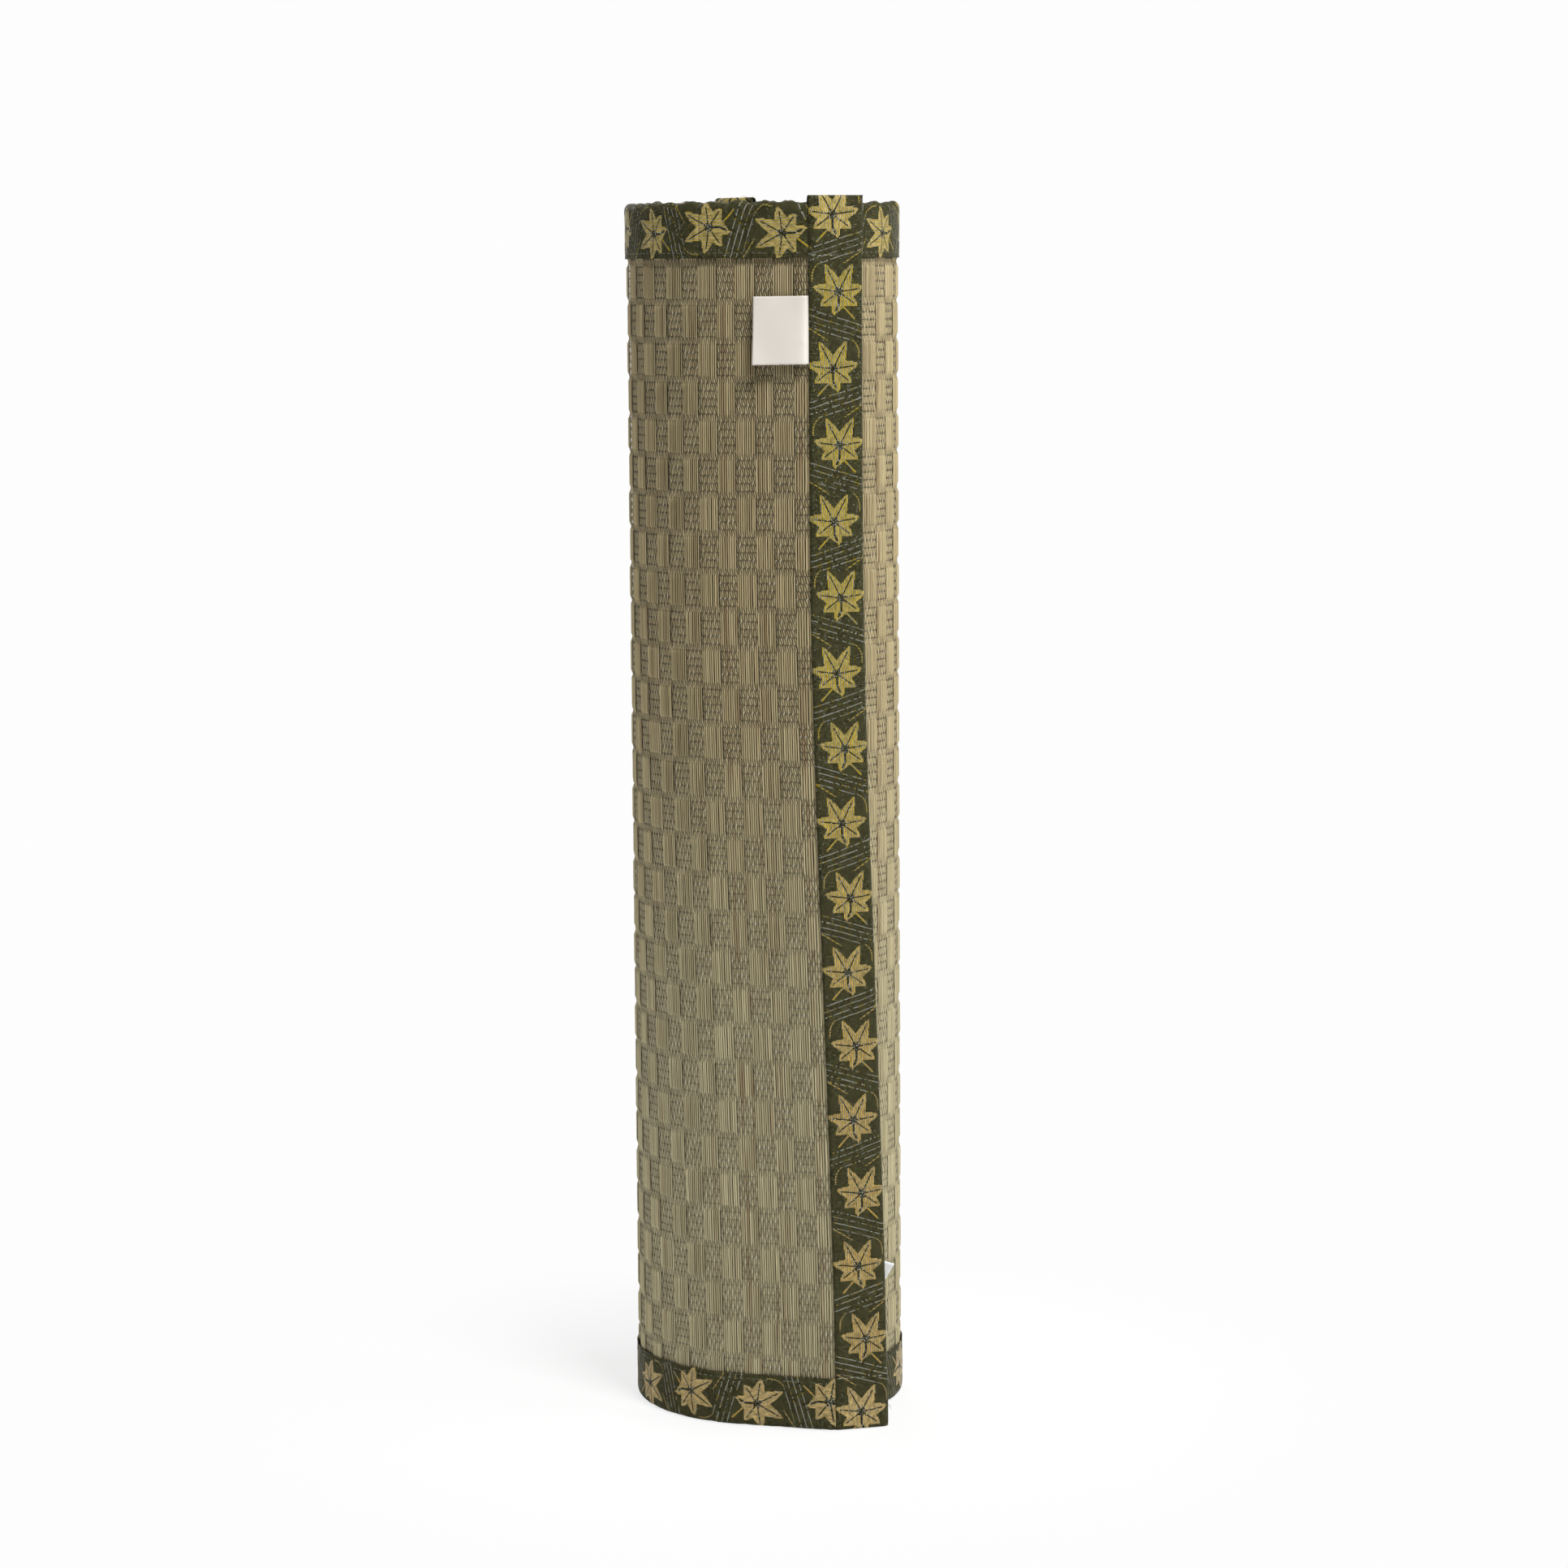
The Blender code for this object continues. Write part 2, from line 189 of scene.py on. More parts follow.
class Nodes:
    """A node tree and the one method that adds a node to it."""

    def __init__(self, tree: bpy.types.NodeTree) -> None:
        """Keeps the tree."""
        self.tree = tree

    def add(
        self,
        kind: str,
        settings: Mapping[str, object] | None = None,
        inputs: Mapping[str | int, object] | None = None,
        output: str | int = 0,
    ) -> Value:
        """Adds a node.

        Args:
            kind: the node's type.
            settings: its properties; "stops" fills a ramp, and "points" a float curve.
            inputs: a value or a link for each named or numbered socket.
            output: the output to return.

        Returns:
            That output.
        """
        node = self.tree.nodes.new(kind)
        for name, setting in (settings or {}).items():
            if name == "stops":
                self._fill_ramp(node.color_ramp, setting)
            elif name == "points":
                self._fill_curve(node.mapping, setting)
            else:
                setattr(node, name, setting)
        for key, value in (inputs or {}).items():
            if isinstance(value, Value):
                self.tree.links.new(value.socket, node.inputs[key])
            else:
                node.inputs[key].default_value = value
        return Value(self, node.outputs[output]) if node.outputs else Value(self, node.inputs[0])

    @staticmethod
    def _fill_ramp(ramp: bpy.types.ColorRamp, stops: Sequence[tuple[float, Colour]]) -> None:
        """Gives a colour ramp its stops."""
        while len(ramp.elements) > 1:
            ramp.elements.remove(ramp.elements[-1])
        ramp.elements[0].position, ramp.elements[0].color = stops[0]
        for position, colour in stops[1:]:
            ramp.elements.new(position).color = colour

    @staticmethod
    def _fill_curve(mapping: bpy.types.CurveMapping, points: Sequence[tuple[float, float]]) -> None:
        """Gives a float curve its corners, with straight runs between them."""
        curve = mapping.curves[0]
        curve.points[0].location, curve.points[1].location = points[0], points[-1]
        for place in points[1:-1]:
            curve.points.new(*place)
        for point in curve.points:
            point.handle_type = "VECTOR"
        mapping.update()

    def mix(
        self, share: "Value | float", low: "Value | Colour", high: "Value | Colour", blend: str = "MIX"
    ) -> Value:
        """A colour mix: low where the share is 0, high where it is 1."""
        settings = {"data_type": "RGBA", "blend_type": blend}
        return self.add("ShaderNodeMix", settings, {0: share, 6: low, 7: high}, output=2)

    def shade(self, colour: "Value | Colour", brightness: Value) -> Value:
        """A colour times a brightness."""
        parts = colour if isinstance(colour, Value) else colour[:3]
        return self.add("ShaderNodeVectorMath", {"operation": "SCALE"}, {0: parts, "Scale": brightness})

    def vector(self, x: "Value | float", y: "Value | float", z: "Value | float" = 0.0) -> Value:
        """A vector from its three parts."""
        return self.add("ShaderNodeCombineXYZ", {}, {0: x, 1: y, 2: z})

    def parts(self, vector: Value) -> tuple[Value, Value, Value]:
        """The three parts of a vector."""
        first = self.add("ShaderNodeSeparateXYZ", {}, {0: vector})
        return first, first.other(1), first.other(2)

    def place(self) -> Value:
        """The shaded point's place in the object."""
        return self.add("ShaderNodeTexCoord", output="Object")

    def cloth(self) -> Value:
        """The shaded point's place on the flat cloth."""
        return self.add("ShaderNodeUVMap", {"uv_map": "Cloth"})

    def bump(self, height: Value, strength: float, depth: float) -> Value:
        """A normal that is tipped by this relief."""
        inputs = {"Height": height, "Strength": strength, "Distance": depth}
        return self.add("ShaderNodeBump", {}, inputs)

    def attribute(self, name: str) -> Value:
        """A number stored on the mesh, read in a shader."""
        return self.add("ShaderNodeAttribute", {"attribute_name": name}, output="Fac")

    def noise(self, vector: Value, scale: float, detail: float = 2.0) -> Value:
        """Smooth noise from 0 to 1."""
        return self.add("ShaderNodeTexNoise", {}, {"Vector": vector, "Scale": scale, "Detail": detail})

    def speck(self, vector: Value) -> Value:
        """A random number from 0 to 1 that is the same all over one whole-number cell."""
        return self.add("ShaderNodeTexWhiteNoise", {"noise_dimensions": "3D"}, {"Vector": vector})


def new_material(name: str) -> tuple[bpy.types.Material, Nodes]:
    """An empty material and its node builder."""
    material = bpy.data.materials.new(name)
    material.use_nodes = True
    material.node_tree.nodes.clear()
    return material, Nodes(material.node_tree)


def close_material(nodes: Nodes, **inputs: object) -> None:
    """Ends a material in a Principled shader with these sockets set."""
    sockets = {name.replace("_", " "): value for name, value in inputs.items()}
    shader = nodes.add("ShaderNodeBsdfPrincipled", {}, sockets)
    nodes.add("ShaderNodeOutputMaterial", {}, {"Surface": shader})


# ---------------------------------------------------------------- the path of the mat


@dataclass(frozen=True)
class MatPath:
    """The line that the mat's middle follows in plan, and the way from flat to rolled."""

    mat_width: float = 0.600
    radius: float = 0.0678
    pitch: float = 0.0073
    turns: float = 6.18
    leaving_azimuth: float = math.radians(-11.5)
    free_length: float = 0.0462
    end_slant: float = 0.0107
    crease_angle: float = math.radians(29)
    crease_bend: float = 0.0035
    lean_start: float = 0.02
    lean_span: float = 0.78
    lean_fade: float = 0.25
    origin: tuple[float, float] = (0.00183, 0.0059)

    @property
    def rolled_length(self) -> float:
        """Length of the middle line from the peel line to the end in the core."""
        return math.tau * self.radius * self.turns - math.pi * self.pitch * self.turns**2

    def crease(self, height: Array) -> Array:
        """Reach of the crease beside the outer band at a height: an S in the upper part."""
        share = np.asarray(height, float) / self.mat_width
        lean = smooth(0, 1, (share + self.lean_start) / self.lean_span)
        return self.free_length - self.end_slant * lean

    def from_crease(self, inward: Array, height: Array) -> Array:
        """Reach of a point given by its distance inward from the crease.

        The rush's stems lean with the crease beside it and stand upright further in.
        """
        upright = self.free_length - inward
        lean = self.free_length - self.crease(height)
        return upright - lean * (1 - smooth(0, self.lean_fade, inward))

    def place(self, reach: Array, height: Array, offset: Array) -> Array:
        """Rolls flat points up.

        Args:
            reach: distance from the peel line towards the free tip.
            height: distance up from the floor.
            offset: distance out of the middle line, towards the rush.

        Returns:
            World points, one row each.
        """
        reach, height, offset = np.broadcast_arrays(
            *(np.asarray(part, float) for part in (reach, height, offset))
        )
        run = np.maximum(-reach, 0)
        turns = (self.radius - np.sqrt(self.radius**2 - self.pitch * run / np.pi)) / self.pitch
        azimuth = self.leaving_azimuth - math.tau * turns
        radius = self.radius - self.pitch * turns
        heading = azimuth - np.arctan2(self.pitch, math.tau * radius)
        x, y = np.sin(azimuth) * radius, -np.cos(azimuth) * radius

        leaving = self.leaving_azimuth - math.atan2(self.pitch, math.tau * self.radius)
        crease, bend = self.crease(height), self.crease_bend
        bend_radius = 2 * bend / self.crease_angle
        straight = np.minimum(reach, crease - bend)
        turned = np.clip((reach - crease + bend) / (2 * bend), 0, 1) * self.crease_angle
        beyond = np.maximum(reach - crease - bend, 0)
        end = leaving + self.crease_angle
        step_x = (
            math.cos(leaving) * straight
            + bend_radius * (np.sin(leaving + turned) - math.sin(leaving))
            + math.cos(end) * beyond
        )
        step_y = (
            math.sin(leaving) * straight
            - bend_radius * (np.cos(leaving + turned) - math.cos(leaving))
            + math.sin(end) * beyond
        )
        free = reach > 0
        x = x + np.where(free, step_x, 0) + np.sin(heading + np.where(free, turned, 0)) * offset
        y = y + np.where(free, step_y, 0) - np.cos(heading + np.where(free, turned, 0)) * offset
        return np.stack([x + self.origin[0], y + self.origin[1], height], axis=-1)


PATH = MatPath()
SPLIT = -0.016          # reach at which the rolled pieces meet those of the free end
FREE_REACH = 0.0675     # mean reach of the layers' tips
OUTER_TURN = -0.44      # reach of the inner end of the turn that shows
BAND_MARGIN = 0.00137   # from the crease to the outer band's open edge
BAND_WIDTH = 0.0266
BAND_TOP = 0.603        # the bands stand a little above the mat
BAND_SEAM = 0.0264      # height of the bands' cross seam at the foot
BAND_HEAD_SEAM = 0.5746
TAPE_WIDTH = 0.0265
TAPE_SEAM = 0.0240      # from the mat's edge to the edge tapes' seam
SEAM_OFFSET = 0.00322   # of the stitches that lie on a tape's rush side
LAYER_TIP = BAND_MARGIN + BAND_WIDTH - 0.0010   # from the crease to the layers' tips


# ---------------------------------------------------------------- mesh helpers


def add_object(name: str, data: bpy.types.ID) -> bpy.types.Object:
    """Adds an object with this data to the scene."""
    piece = bpy.data.objects.new(name, data)
    bpy.context.scene.collection.objects.link(piece)
    return piece


def read_points(mesh: bpy.types.Mesh) -> Array:
    """The x, y and z of a mesh's points, one row each."""
    flat = np.empty(len(mesh.vertices) * 3, np.float32)
    mesh.vertices.foreach_get("co", flat)
    return flat.reshape(-1, 3).astype(float).T


def place_mesh(mesh: bpy.types.Mesh, name: str, points: Array) -> bpy.types.Object:
    """Moves a mesh's points and makes its object."""
    mesh.vertices.foreach_set("co", points.astype(np.float32).ravel())
    mesh.update()
    mesh.name = name
    return add_object(name, mesh)


class Holding(Enum):
    """What a piece hangs from: one body, or two across a hinge, which leave it unhung where it stands.
    """

    ROLL = ("roll",)
    FREE_END = ("free_end",)
    PEEL_LINE = ("roll", "free_end")
    LABEL_LINE = ("free_end", "label")


class Shell:
    """Gathers patches of quads, each with its cloth and bake coordinates, into a mesh."""

    def __init__(self) -> None:
        """Starts with nothing."""
        self.points: list[Array] = []
        self.faces: list[Array] = []
        self.cloth: list[Array] = []
        self.bake: list[Array] = []
        self.count = 0

    def patch(
        self, points: Array, cloth: Array, bake: tuple[float, float, float, float], rows: int = 1
    ) -> None:
        """Adds a grid of quads whose faces look along (second axis) x (first axis).

        Args:
            points: rows x columns x 3.
            cloth: rows x columns x 2, the place on the flat cloth.
            bake: the box (u0, v0, u1, v1) that the patch takes on the bake map.
            rows: lines that a long patch is broken into on the bake map.
        """
        down, right = points.shape[:2]
        index = self.count + np.arange(down * right).reshape(down, right)
        corner = [(0, 0), (0, 1), (1, 1), (1, 0)]
        quads = np.stack([index[a : down - 1 + a, b : right - 1 + b] for a, b in corner], axis=-1)
        flat = np.stack([cloth[a : down - 1 + a, b : right - 1 + b] for a, b in corner], axis=-2)
        each = math.ceil((down - 1) / rows)
        line = np.arange(down - 1) // each
        u0, v0, u1, v1 = bake
        laid = np.empty((down - 1, right - 1, 4, 2))
        for k, (a, b) in enumerate(corner):
            along = (np.arange(down - 1) + a - line * each) / each
            side = (np.arange(right - 1) + b) / (right - 1)
            laid[..., k, 0] = u0 + (u1 - u0) * (0.01 + 0.98 * along)[:, None]
            laid[..., k, 1] = v0 + (v1 - v0) * (line[:, None] + 0.03 + 0.94 * side[None, :]) / rows
        self.points.append(points.reshape(-1, 3))
        self.faces.append(quads.reshape(-1, 4))
        self.cloth.append(flat.reshape(-1, 2))
        self.bake.append(laid.reshape(-1, 2))
        self.count += down * right

    def thick(
        self,
        front: Array,
        back: Array,
        cloth: Array,
        rows: int = 1,
        open_ends: tuple[bool, bool] = (True, True),
    ) -> None:
        """Adds a sheet with two sides and its rims.

        Args:
            front: rows x columns x 3, the side that patch() turns outwards.
            back: the same for the other side.
            cloth: rows x columns x 2.
            rows: lines on the bake map.
            open_ends: whether the rims at the first and the last row are made.
        """
        self.patch(front, cloth, (0.0, 0.5, 1.0, 1.0), rows)
        self.patch(back[:, ::-1], cloth[:, ::-1], (0.0, 0.06, 1.0, 0.5), rows)
        for line, side in enumerate((0, -1)):
            edge = np.stack([back[:, side], front[:, side]], axis=1)
            flat = np.stack([cloth[:, side]] * 2, axis=1)
            self.rim(edge, flat, side == -1, line)
        for line, side in enumerate((0, -1), start=2):
            if open_ends[side]:
                edge = np.stack([front[side], back[side]], axis=1)[::-1]
                flat = np.stack([cloth[side]] * 2, axis=1)[::-1]
                self.rim(edge, flat, side == 0, line)

    def rim(self, edge: Array, flat: Array, turned: bool, line: int) -> None:
        """Adds one of a sheet's four rims, on its own line at the foot of the bake map."""
        if turned:
            edge, flat = edge[:, ::-1], flat[:, ::-1]
        low = line * 0.012
        self.patch(edge, flat, (0.0, low, 1.0, low + 0.01))

    def tube(self, path: Array, radius: Array, sides: int = 5) -> None:
        """Adds a thin round thread along a path of points."""
        ahead = np.gradient(path, axis=0)
        ahead /= np.linalg.norm(ahead, axis=1, keepdims=True)
        side = np.cross(ahead, (0.31, 0.55, 0.77))
        side /= np.linalg.norm(side, axis=1, keepdims=True)
        third = np.cross(ahead, side)
        turn = np.linspace(0, math.tau, sides + 1)[None, :]
        ring = side[:, None] * np.cos(turn)[..., None] + third[:, None] * np.sin(turn)[..., None]
        points = path[:, None] + ring * np.broadcast_to(radius, len(path))[:, None, None]
        run = np.arange(len(path))[:, None] * 0.001
        cloth = np.stack(np.broadcast_arrays(turn, run), axis=-1)
        self.patch(points, cloth, (0.0, 0.0, 1.0, 1.0))

    def build(self, name: str) -> bpy.types.Object:
        """Makes the object, with the patches' shared edges joined."""
        mesh = bpy.data.meshes.new(name)
        points, faces = np.concatenate(self.points), np.concatenate(self.faces)
        mesh.from_pydata(points.tolist(), [], faces.tolist())
        for layer, values in (("Cloth", self.cloth), ("OFBake", self.bake)):
            uv = mesh.uv_layers.new(name=layer)
            uv.data.foreach_set("uv", np.concatenate(values).astype(np.float32).ravel())
        joined = bmesh.new()
        joined.from_mesh(mesh)
        bmesh.ops.remove_doubles(joined, verts=joined.verts, dist=2e-6)
        bmesh.ops.dissolve_degenerate(joined, edges=joined.edges, dist=1e-7)
        joined.to_mesh(mesh)
        joined.free()
        mesh.polygons.foreach_set("use_smooth", [True] * len(mesh.polygons))
        return add_object(name, mesh)


def hold(
    piece: bpy.types.Object,
    holding: Holding,
    material: bpy.types.Material,
    stands_for: Sequence[str] = (),
) -> None:
    """Gives a finished piece its material and, when it has one body, that body, and hides the CAD nodes
    it stands for.

    Args:
        piece: the object, at the origin, with its place in its mesh.
        holding: the body that it hangs from; a piece across two bodies is left where it stands.
        material: its finish.
        stands_for: the CAD nodes that it replaces.
    """
    piece.data.materials.clear()
    piece.data.materials.append(material)
    if len(holding.value) == 2:
        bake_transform(piece)
    else:
        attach(piece, holding.value[0])
    if stands_for:
        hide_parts(*stands_for)
    faces = sum(len(face.vertices) - 2 for face in piece.data.polygons)
    log.info("%s: %d triangles, on %s", piece.name, faces, " and ".join(holding.value))


def stations(start: float, stop: float, step: float) -> Array:
    """Evenly spaced places from start to stop, at most a step apart."""
    return np.linspace(start, stop, max(2, math.ceil(abs(stop - start) / step) + 1))


@dataclass(frozen=True)
class Stretch:
    """One of the two stretches that each layer and edge tape is made in."""

    part: str
    holding: Holding
    reaches: Array
    length: float
    to_tip: bool

    def sections(self, heights: Array) -> Array:
        """Reaches of every section at these heights.

        Args:
            heights: one for each column.

        Returns:
            Sections x heights. The free stretch is fitted to the tip past the crease.
        """
        reaches = self.reaches[:, None]
        if self.to_tip:
            last = reaches[-1]
            share = (reaches - last) / (reaches[0] - last)
            return last + (PATH.crease(heights)[None, :] + LAYER_TIP - last) * share
        return np.broadcast_to(reaches, (len(reaches), len(heights)))


def stretches() -> tuple[Stretch, Stretch]:
    """The rolled stretch and the free one, with closer sections where the mat shows."""
    outer = stations(SPLIT, OUTER_TURN, 0.002)
    inner = stations(OUTER_TURN, -PATH.rolled_length + 0.0004, 0.0035)
    rolled = np.concatenate([outer, inner[1:]])
    free = np.concatenate([np.linspace(0.073, 0.030, 46), np.linspace(0.030, SPLIT, 24)[1:]])
    return (
        Stretch("roll", Holding.ROLL, rolled, PATH.rolled_length + SPLIT, to_tip=False),
        Stretch("free_end", Holding.PEEL_LINE, free, FREE_REACH - SPLIT, to_tip=True),
    )


# ---------------------------------------------------------------- Geometry Nodes


@dataclass(frozen=True)
class Recipe:
    """A Geometry Nodes tree with named inputs, run once for a plain mesh."""

    tree: bpy.types.NodeTree

    def run(self, **values: object) -> bpy.types.Mesh:
        """Sets the inputs by their sockets' identifiers and evaluates the tree.

        Args:
            values: one value for each named input.

        Returns:
            A new plain mesh.
        """
        holder = add_object("holder", bpy.data.meshes.new("holder"))
        modifier = holder.modifiers.new("recipe", "NODES")
        modifier.node_group = self.tree
        for item in self.tree.interface.items_tree:
            if item.in_out == "INPUT" and item.name in values:
                modifier[item.identifier] = values[item.name]
        graph = bpy.context.evaluated_depsgraph_get()
        graph.update()
        mesh = bpy.data.meshes.new_from_object(holder.evaluated_get(graph))
        holder.modifiers.remove(modifier)
        bpy.data.objects.remove(holder, do_unlink=True)
        return mesh


def start_recipe(name: str, inputs: Mapping[str, str]) -> tuple[Nodes, Value]:
    """A new Geometry Nodes tree with these named inputs.

    Args:
        name: the tree's name.
        inputs: a socket type for each input.

    Returns:
        Its node builder and its group input.
    """
    tree = bpy.data.node_groups.new(name, "GeometryNodeTree")
    tree.interface.new_socket("Geometry", in_out="OUTPUT", socket_type="NodeSocketGeometry")
    for label, kind in inputs.items():
        tree.interface.new_socket(label, in_out="INPUT", socket_type=kind)
    nodes = Nodes(tree)
    return nodes, nodes.add("NodeGroupInput")


def store(nodes: Nodes, geometry: Value, name: str, value: Value) -> Value:
    """Stores a number on every point."""
    return nodes.add(
        "GeometryNodeStoreNamedAttribute",
        {"data_type": "FLOAT", "domain": "POINT"},
        {"Geometry": geometry, "Name": name, "Value": value},
    )


def read(nodes: Nodes, name: str) -> Value:
    """Reads a stored number in a Geometry Nodes tree."""
    settings = {"data_type": "FLOAT"}
    return nodes.add("GeometryNodeInputNamedAttribute", settings, {"Name": name}, output="Attribute")


def chance(nodes: Nodes, key: Value, seed: Value | int, low: float = -1.0, high: float = 1.0) -> Value:
    """A random number that is the same for the same key and seed."""
    inputs = {2: low, 3: high, "ID": key, "Seed": seed}
    return nodes.add("FunctionNodeRandomValue", {"data_type": "FLOAT"}, inputs, output=1)


@dataclass(frozen=True)
class RushWeave:
    """The woven rush: stems that stand upright, in a checkerboard of two weaves.

    In a tight block each stem goes over one cotton warp and under the next, and in a
    float block the stems run straight over five of them.
    """

    stem_pitch: float = 0.001144
    block_width: float = 0.009725
    first_block: float = 0.0053
    row_height: float = 0.01848
    top_row: float = 0.5529
    first_step: int = -19
    last_step: int = 429
    steps_per_row: int = 15
    warps_per_row: float = 5.0
    first_warp: float = 0.1
    crest: float = 0.00180
    tight_swing: float = 0.00010
    float_rise: float = 0.00086

    def recipe(self, material: bpy.types.Material) -> Recipe:
        """The tree that makes a run of stems in the flat.

        Args:
            material: the rush's finish.

        Returns:
            The recipe. X of its mesh is the distance inward from the crease times -1.
        """
        nodes, given = start_recipe(
            "rush weave",
            {
                "First": "NodeSocketInt", "Stems": "NodeSocketInt", "Stem Pitch": "NodeSocketFloat",
                "Top Row": "NodeSocketFloat", "Row Height": "NodeSocketFloat",
            },
        )
        first, pitch = given.other("First"), given.other("Stem Pitch")
        count = self.last_step - self.first_step + 1
        line = nodes.add("GeometryNodeMeshLine", {"mode": "OFFSET"}, {"Count": given.other("Stems")})
        number = nodes.add("GeometryNodeInputIndex") + first
        line = store(nodes, line, "stem", number)
        shape = {"Size X": 1.0, "Size Y": 1.0, "Vertices X": 3, "Vertices Y": count}
        strip = nodes.add("GeometryNodeMeshGrid", {}, shape)
        side, run, _ = nodes.parts(nodes.add("GeometryNodeInputPosition"))
        strip = store(nodes, strip, "across", side * 2.0)
        strip = store(nodes, strip, "along", run + 0.5)
        body = nodes.add("GeometryNodeInstanceOnPoints", {}, {"Points": line, "Instance": strip})
        body = nodes.add("GeometryNodeRealizeInstances", {}, {"Geometry": body})

        stem, across, along = read(nodes, "stem"), read(nodes, "across"), read(nodes, "along")
        rows = ((1 - along) * (count - 1) + self.first_step) / self.steps_per_row
        height = given.other("Top Row") - rows * given.other("Row Height")
        row = rows.floor()
        part = rows - row
        place = (stem * pitch - self.first_block) / self.block_width
        column = place.floor()
        puff = 1 - ((place - column) * 2.0 - 1.0) ** 4.0 * 0.42
        odd = (row + column) % 2.0
        pair = stem % 2.0
        shiver = nodes.noise(nodes.vector(stem * 7.31, rows * 1.7), 1.0)
        phase = ((rows - self.first_warp) * self.warps_per_row + pair) * math.pi
        ends = (0.5 - abs(part - 0.5)) * self.row_height
        floating = ends.smooth(0.0003, 0.0024) * odd
        swing = phase.math("COSINE")
        bias = chance(nodes, stem, 11)
        loose = puff * self.float_rise + bias * 0.00009 + (shiver - 0.5) * 0.00018
        level = (swing * self.tight_swing).toward(loose, floating)
        arch = -(across * across * (floating * 0.00052 + 0.00010))
        breadth = (chance(nodes, stem, 12) * 0.06 - 0.015) * floating + 0.53
        sway = ((shiver - 0.5) * 0.00034 + chance(nodes, stem, 13) * 0.00008) * floating
        pressed = stem.smooth(-1.0, 3.0)
        level = level * (pressed * 0.8 + 0.2)
        x = -(stem * pitch) + across * breadth * pitch + sway
        body = store(nodes, body, "rows", rows)
        body = store(nodes, body, "lane", -(x / pitch))
        body = store(nodes, body, "floating", floating)
        body = store(nodes, body, "tone", chance(nodes, stem, 14, 0.0, 1.0))
        moved = nodes.vector(x, height, self.crest + level + arch)
        body = nodes.add("GeometryNodeSetPosition", {}, {"Geometry": body, "Position": moved})
        body = nodes.add("GeometryNodeSetShadeSmooth", {}, {"Geometry": body})
        body = nodes.add("GeometryNodeSetMaterial", {}, {"Geometry": body, "Material": material})
        nodes.add("NodeGroupOutput", {}, {"Geometry": body})
        return Recipe(nodes.tree)

    def grow(self, recipe: Recipe, name: str, first: int, stems: int) -> bpy.types.Object:
        """Makes a run of stems and rolls it up.

        Args:
            recipe: the tree from recipe().
            name: the piece's name.
            first: number of the first stem, counted inward from the crease.
            stems: how many there are.

        Returns:
            The piece.
        """
        mesh = recipe.run(
            **{
                "First": first, "Stems": stems, "Stem Pitch": self.stem_pitch,
                "Top Row": self.top_row, "Row Height": self.row_height,
            }
        )
        x, height, offset = read_points(mesh)
        corner = np.empty(len(mesh.loops), np.int32)
        mesh.loops.foreach_get("vertex_index", corner)
        numbers = {}
        for label in ("stem", "across", "along"):
            numbers[label] = np.empty(len(mesh.vertices), np.float32)
            mesh.attributes[label].data.foreach_get("value", numbers[label])
        u = (numbers["stem"] - first + 0.5 + numbers["across"] * 0.45) / stems
        uv = mesh.uv_layers.new(name="OFBake")
        uv.data.foreach_set("uv", np.stack([u, numbers["along"]], 1)[corner].astype(np.float32).ravel())
        return place_mesh(mesh, name, PATH.place(PATH.from_crease(-x, height), height, offset))


def stitch_recipe(material: bpy.types.Material) -> Recipe:
    """The tree that lays a row of stitches in the flat, each a small grain of thread."""
    nodes, given = start_recipe(
        "stitch row",
        {
            "Count": "NodeSocketInt", "Start": "NodeSocketVector", "Step": "NodeSocketVector",
            "Turn": "NodeSocketFloat", "Size": "NodeSocketVector", "Waver": "NodeSocketFloat",
            "Seed": "NodeSocketInt",
        },
    )
    line = nodes.add(
        "GeometryNodeMeshLine",
        {"mode": "OFFSET"},
        {
            "Count": given.other("Count"), "Start Location": given.other("Start"),
            "Offset": given.other("Step"),
        },
    )
    index = nodes.add("GeometryNodeInputIndex")

    def roll(low: float, high: float, number: int) -> Value:
        """A random number for each stitch."""
        return chance(nodes, index * 7.0 + float(number), given.other("Seed"), low, high)

    waver = given.other("Waver")
    moved = nodes.vector(
        roll(-0.3, 0.3, 1) * waver, roll(-1.0, 1.0, 2) * waver, roll(-0.2, 0.2, 3) * waver
    )
    line = nodes.add("GeometryNodeSetPosition", {}, {"Geometry": line, "Offset": moved})
    grain = nodes.add("GeometryNodeMeshIcoSphere", {}, {"Radius": 1.0, "Subdivisions": 2})
    grain = nodes.add("GeometryNodeSetShadeSmooth", {}, {"Geometry": grain})
    turn = nodes.vector(0.0, roll(-0.05, 0.05, 4), given.other("Turn") + roll(-0.14, 0.14, 5))
    body = nodes.add(
        "GeometryNodeInstanceOnPoints",
        {},
        {"Points": line, "Instance": grain, "Rotation": turn, "Scale": given.other("Size")},
    )
    body = nodes.add("GeometryNodeRealizeInstances", {}, {"Geometry": body})
    body = nodes.add("GeometryNodeSetMaterial", {}, {"Geometry": body, "Material": material})
    nodes.add("NodeGroupOutput", {}, {"Geometry": body})
    return Recipe(nodes.tree)


# ---------------------------------------------------------------- finishes


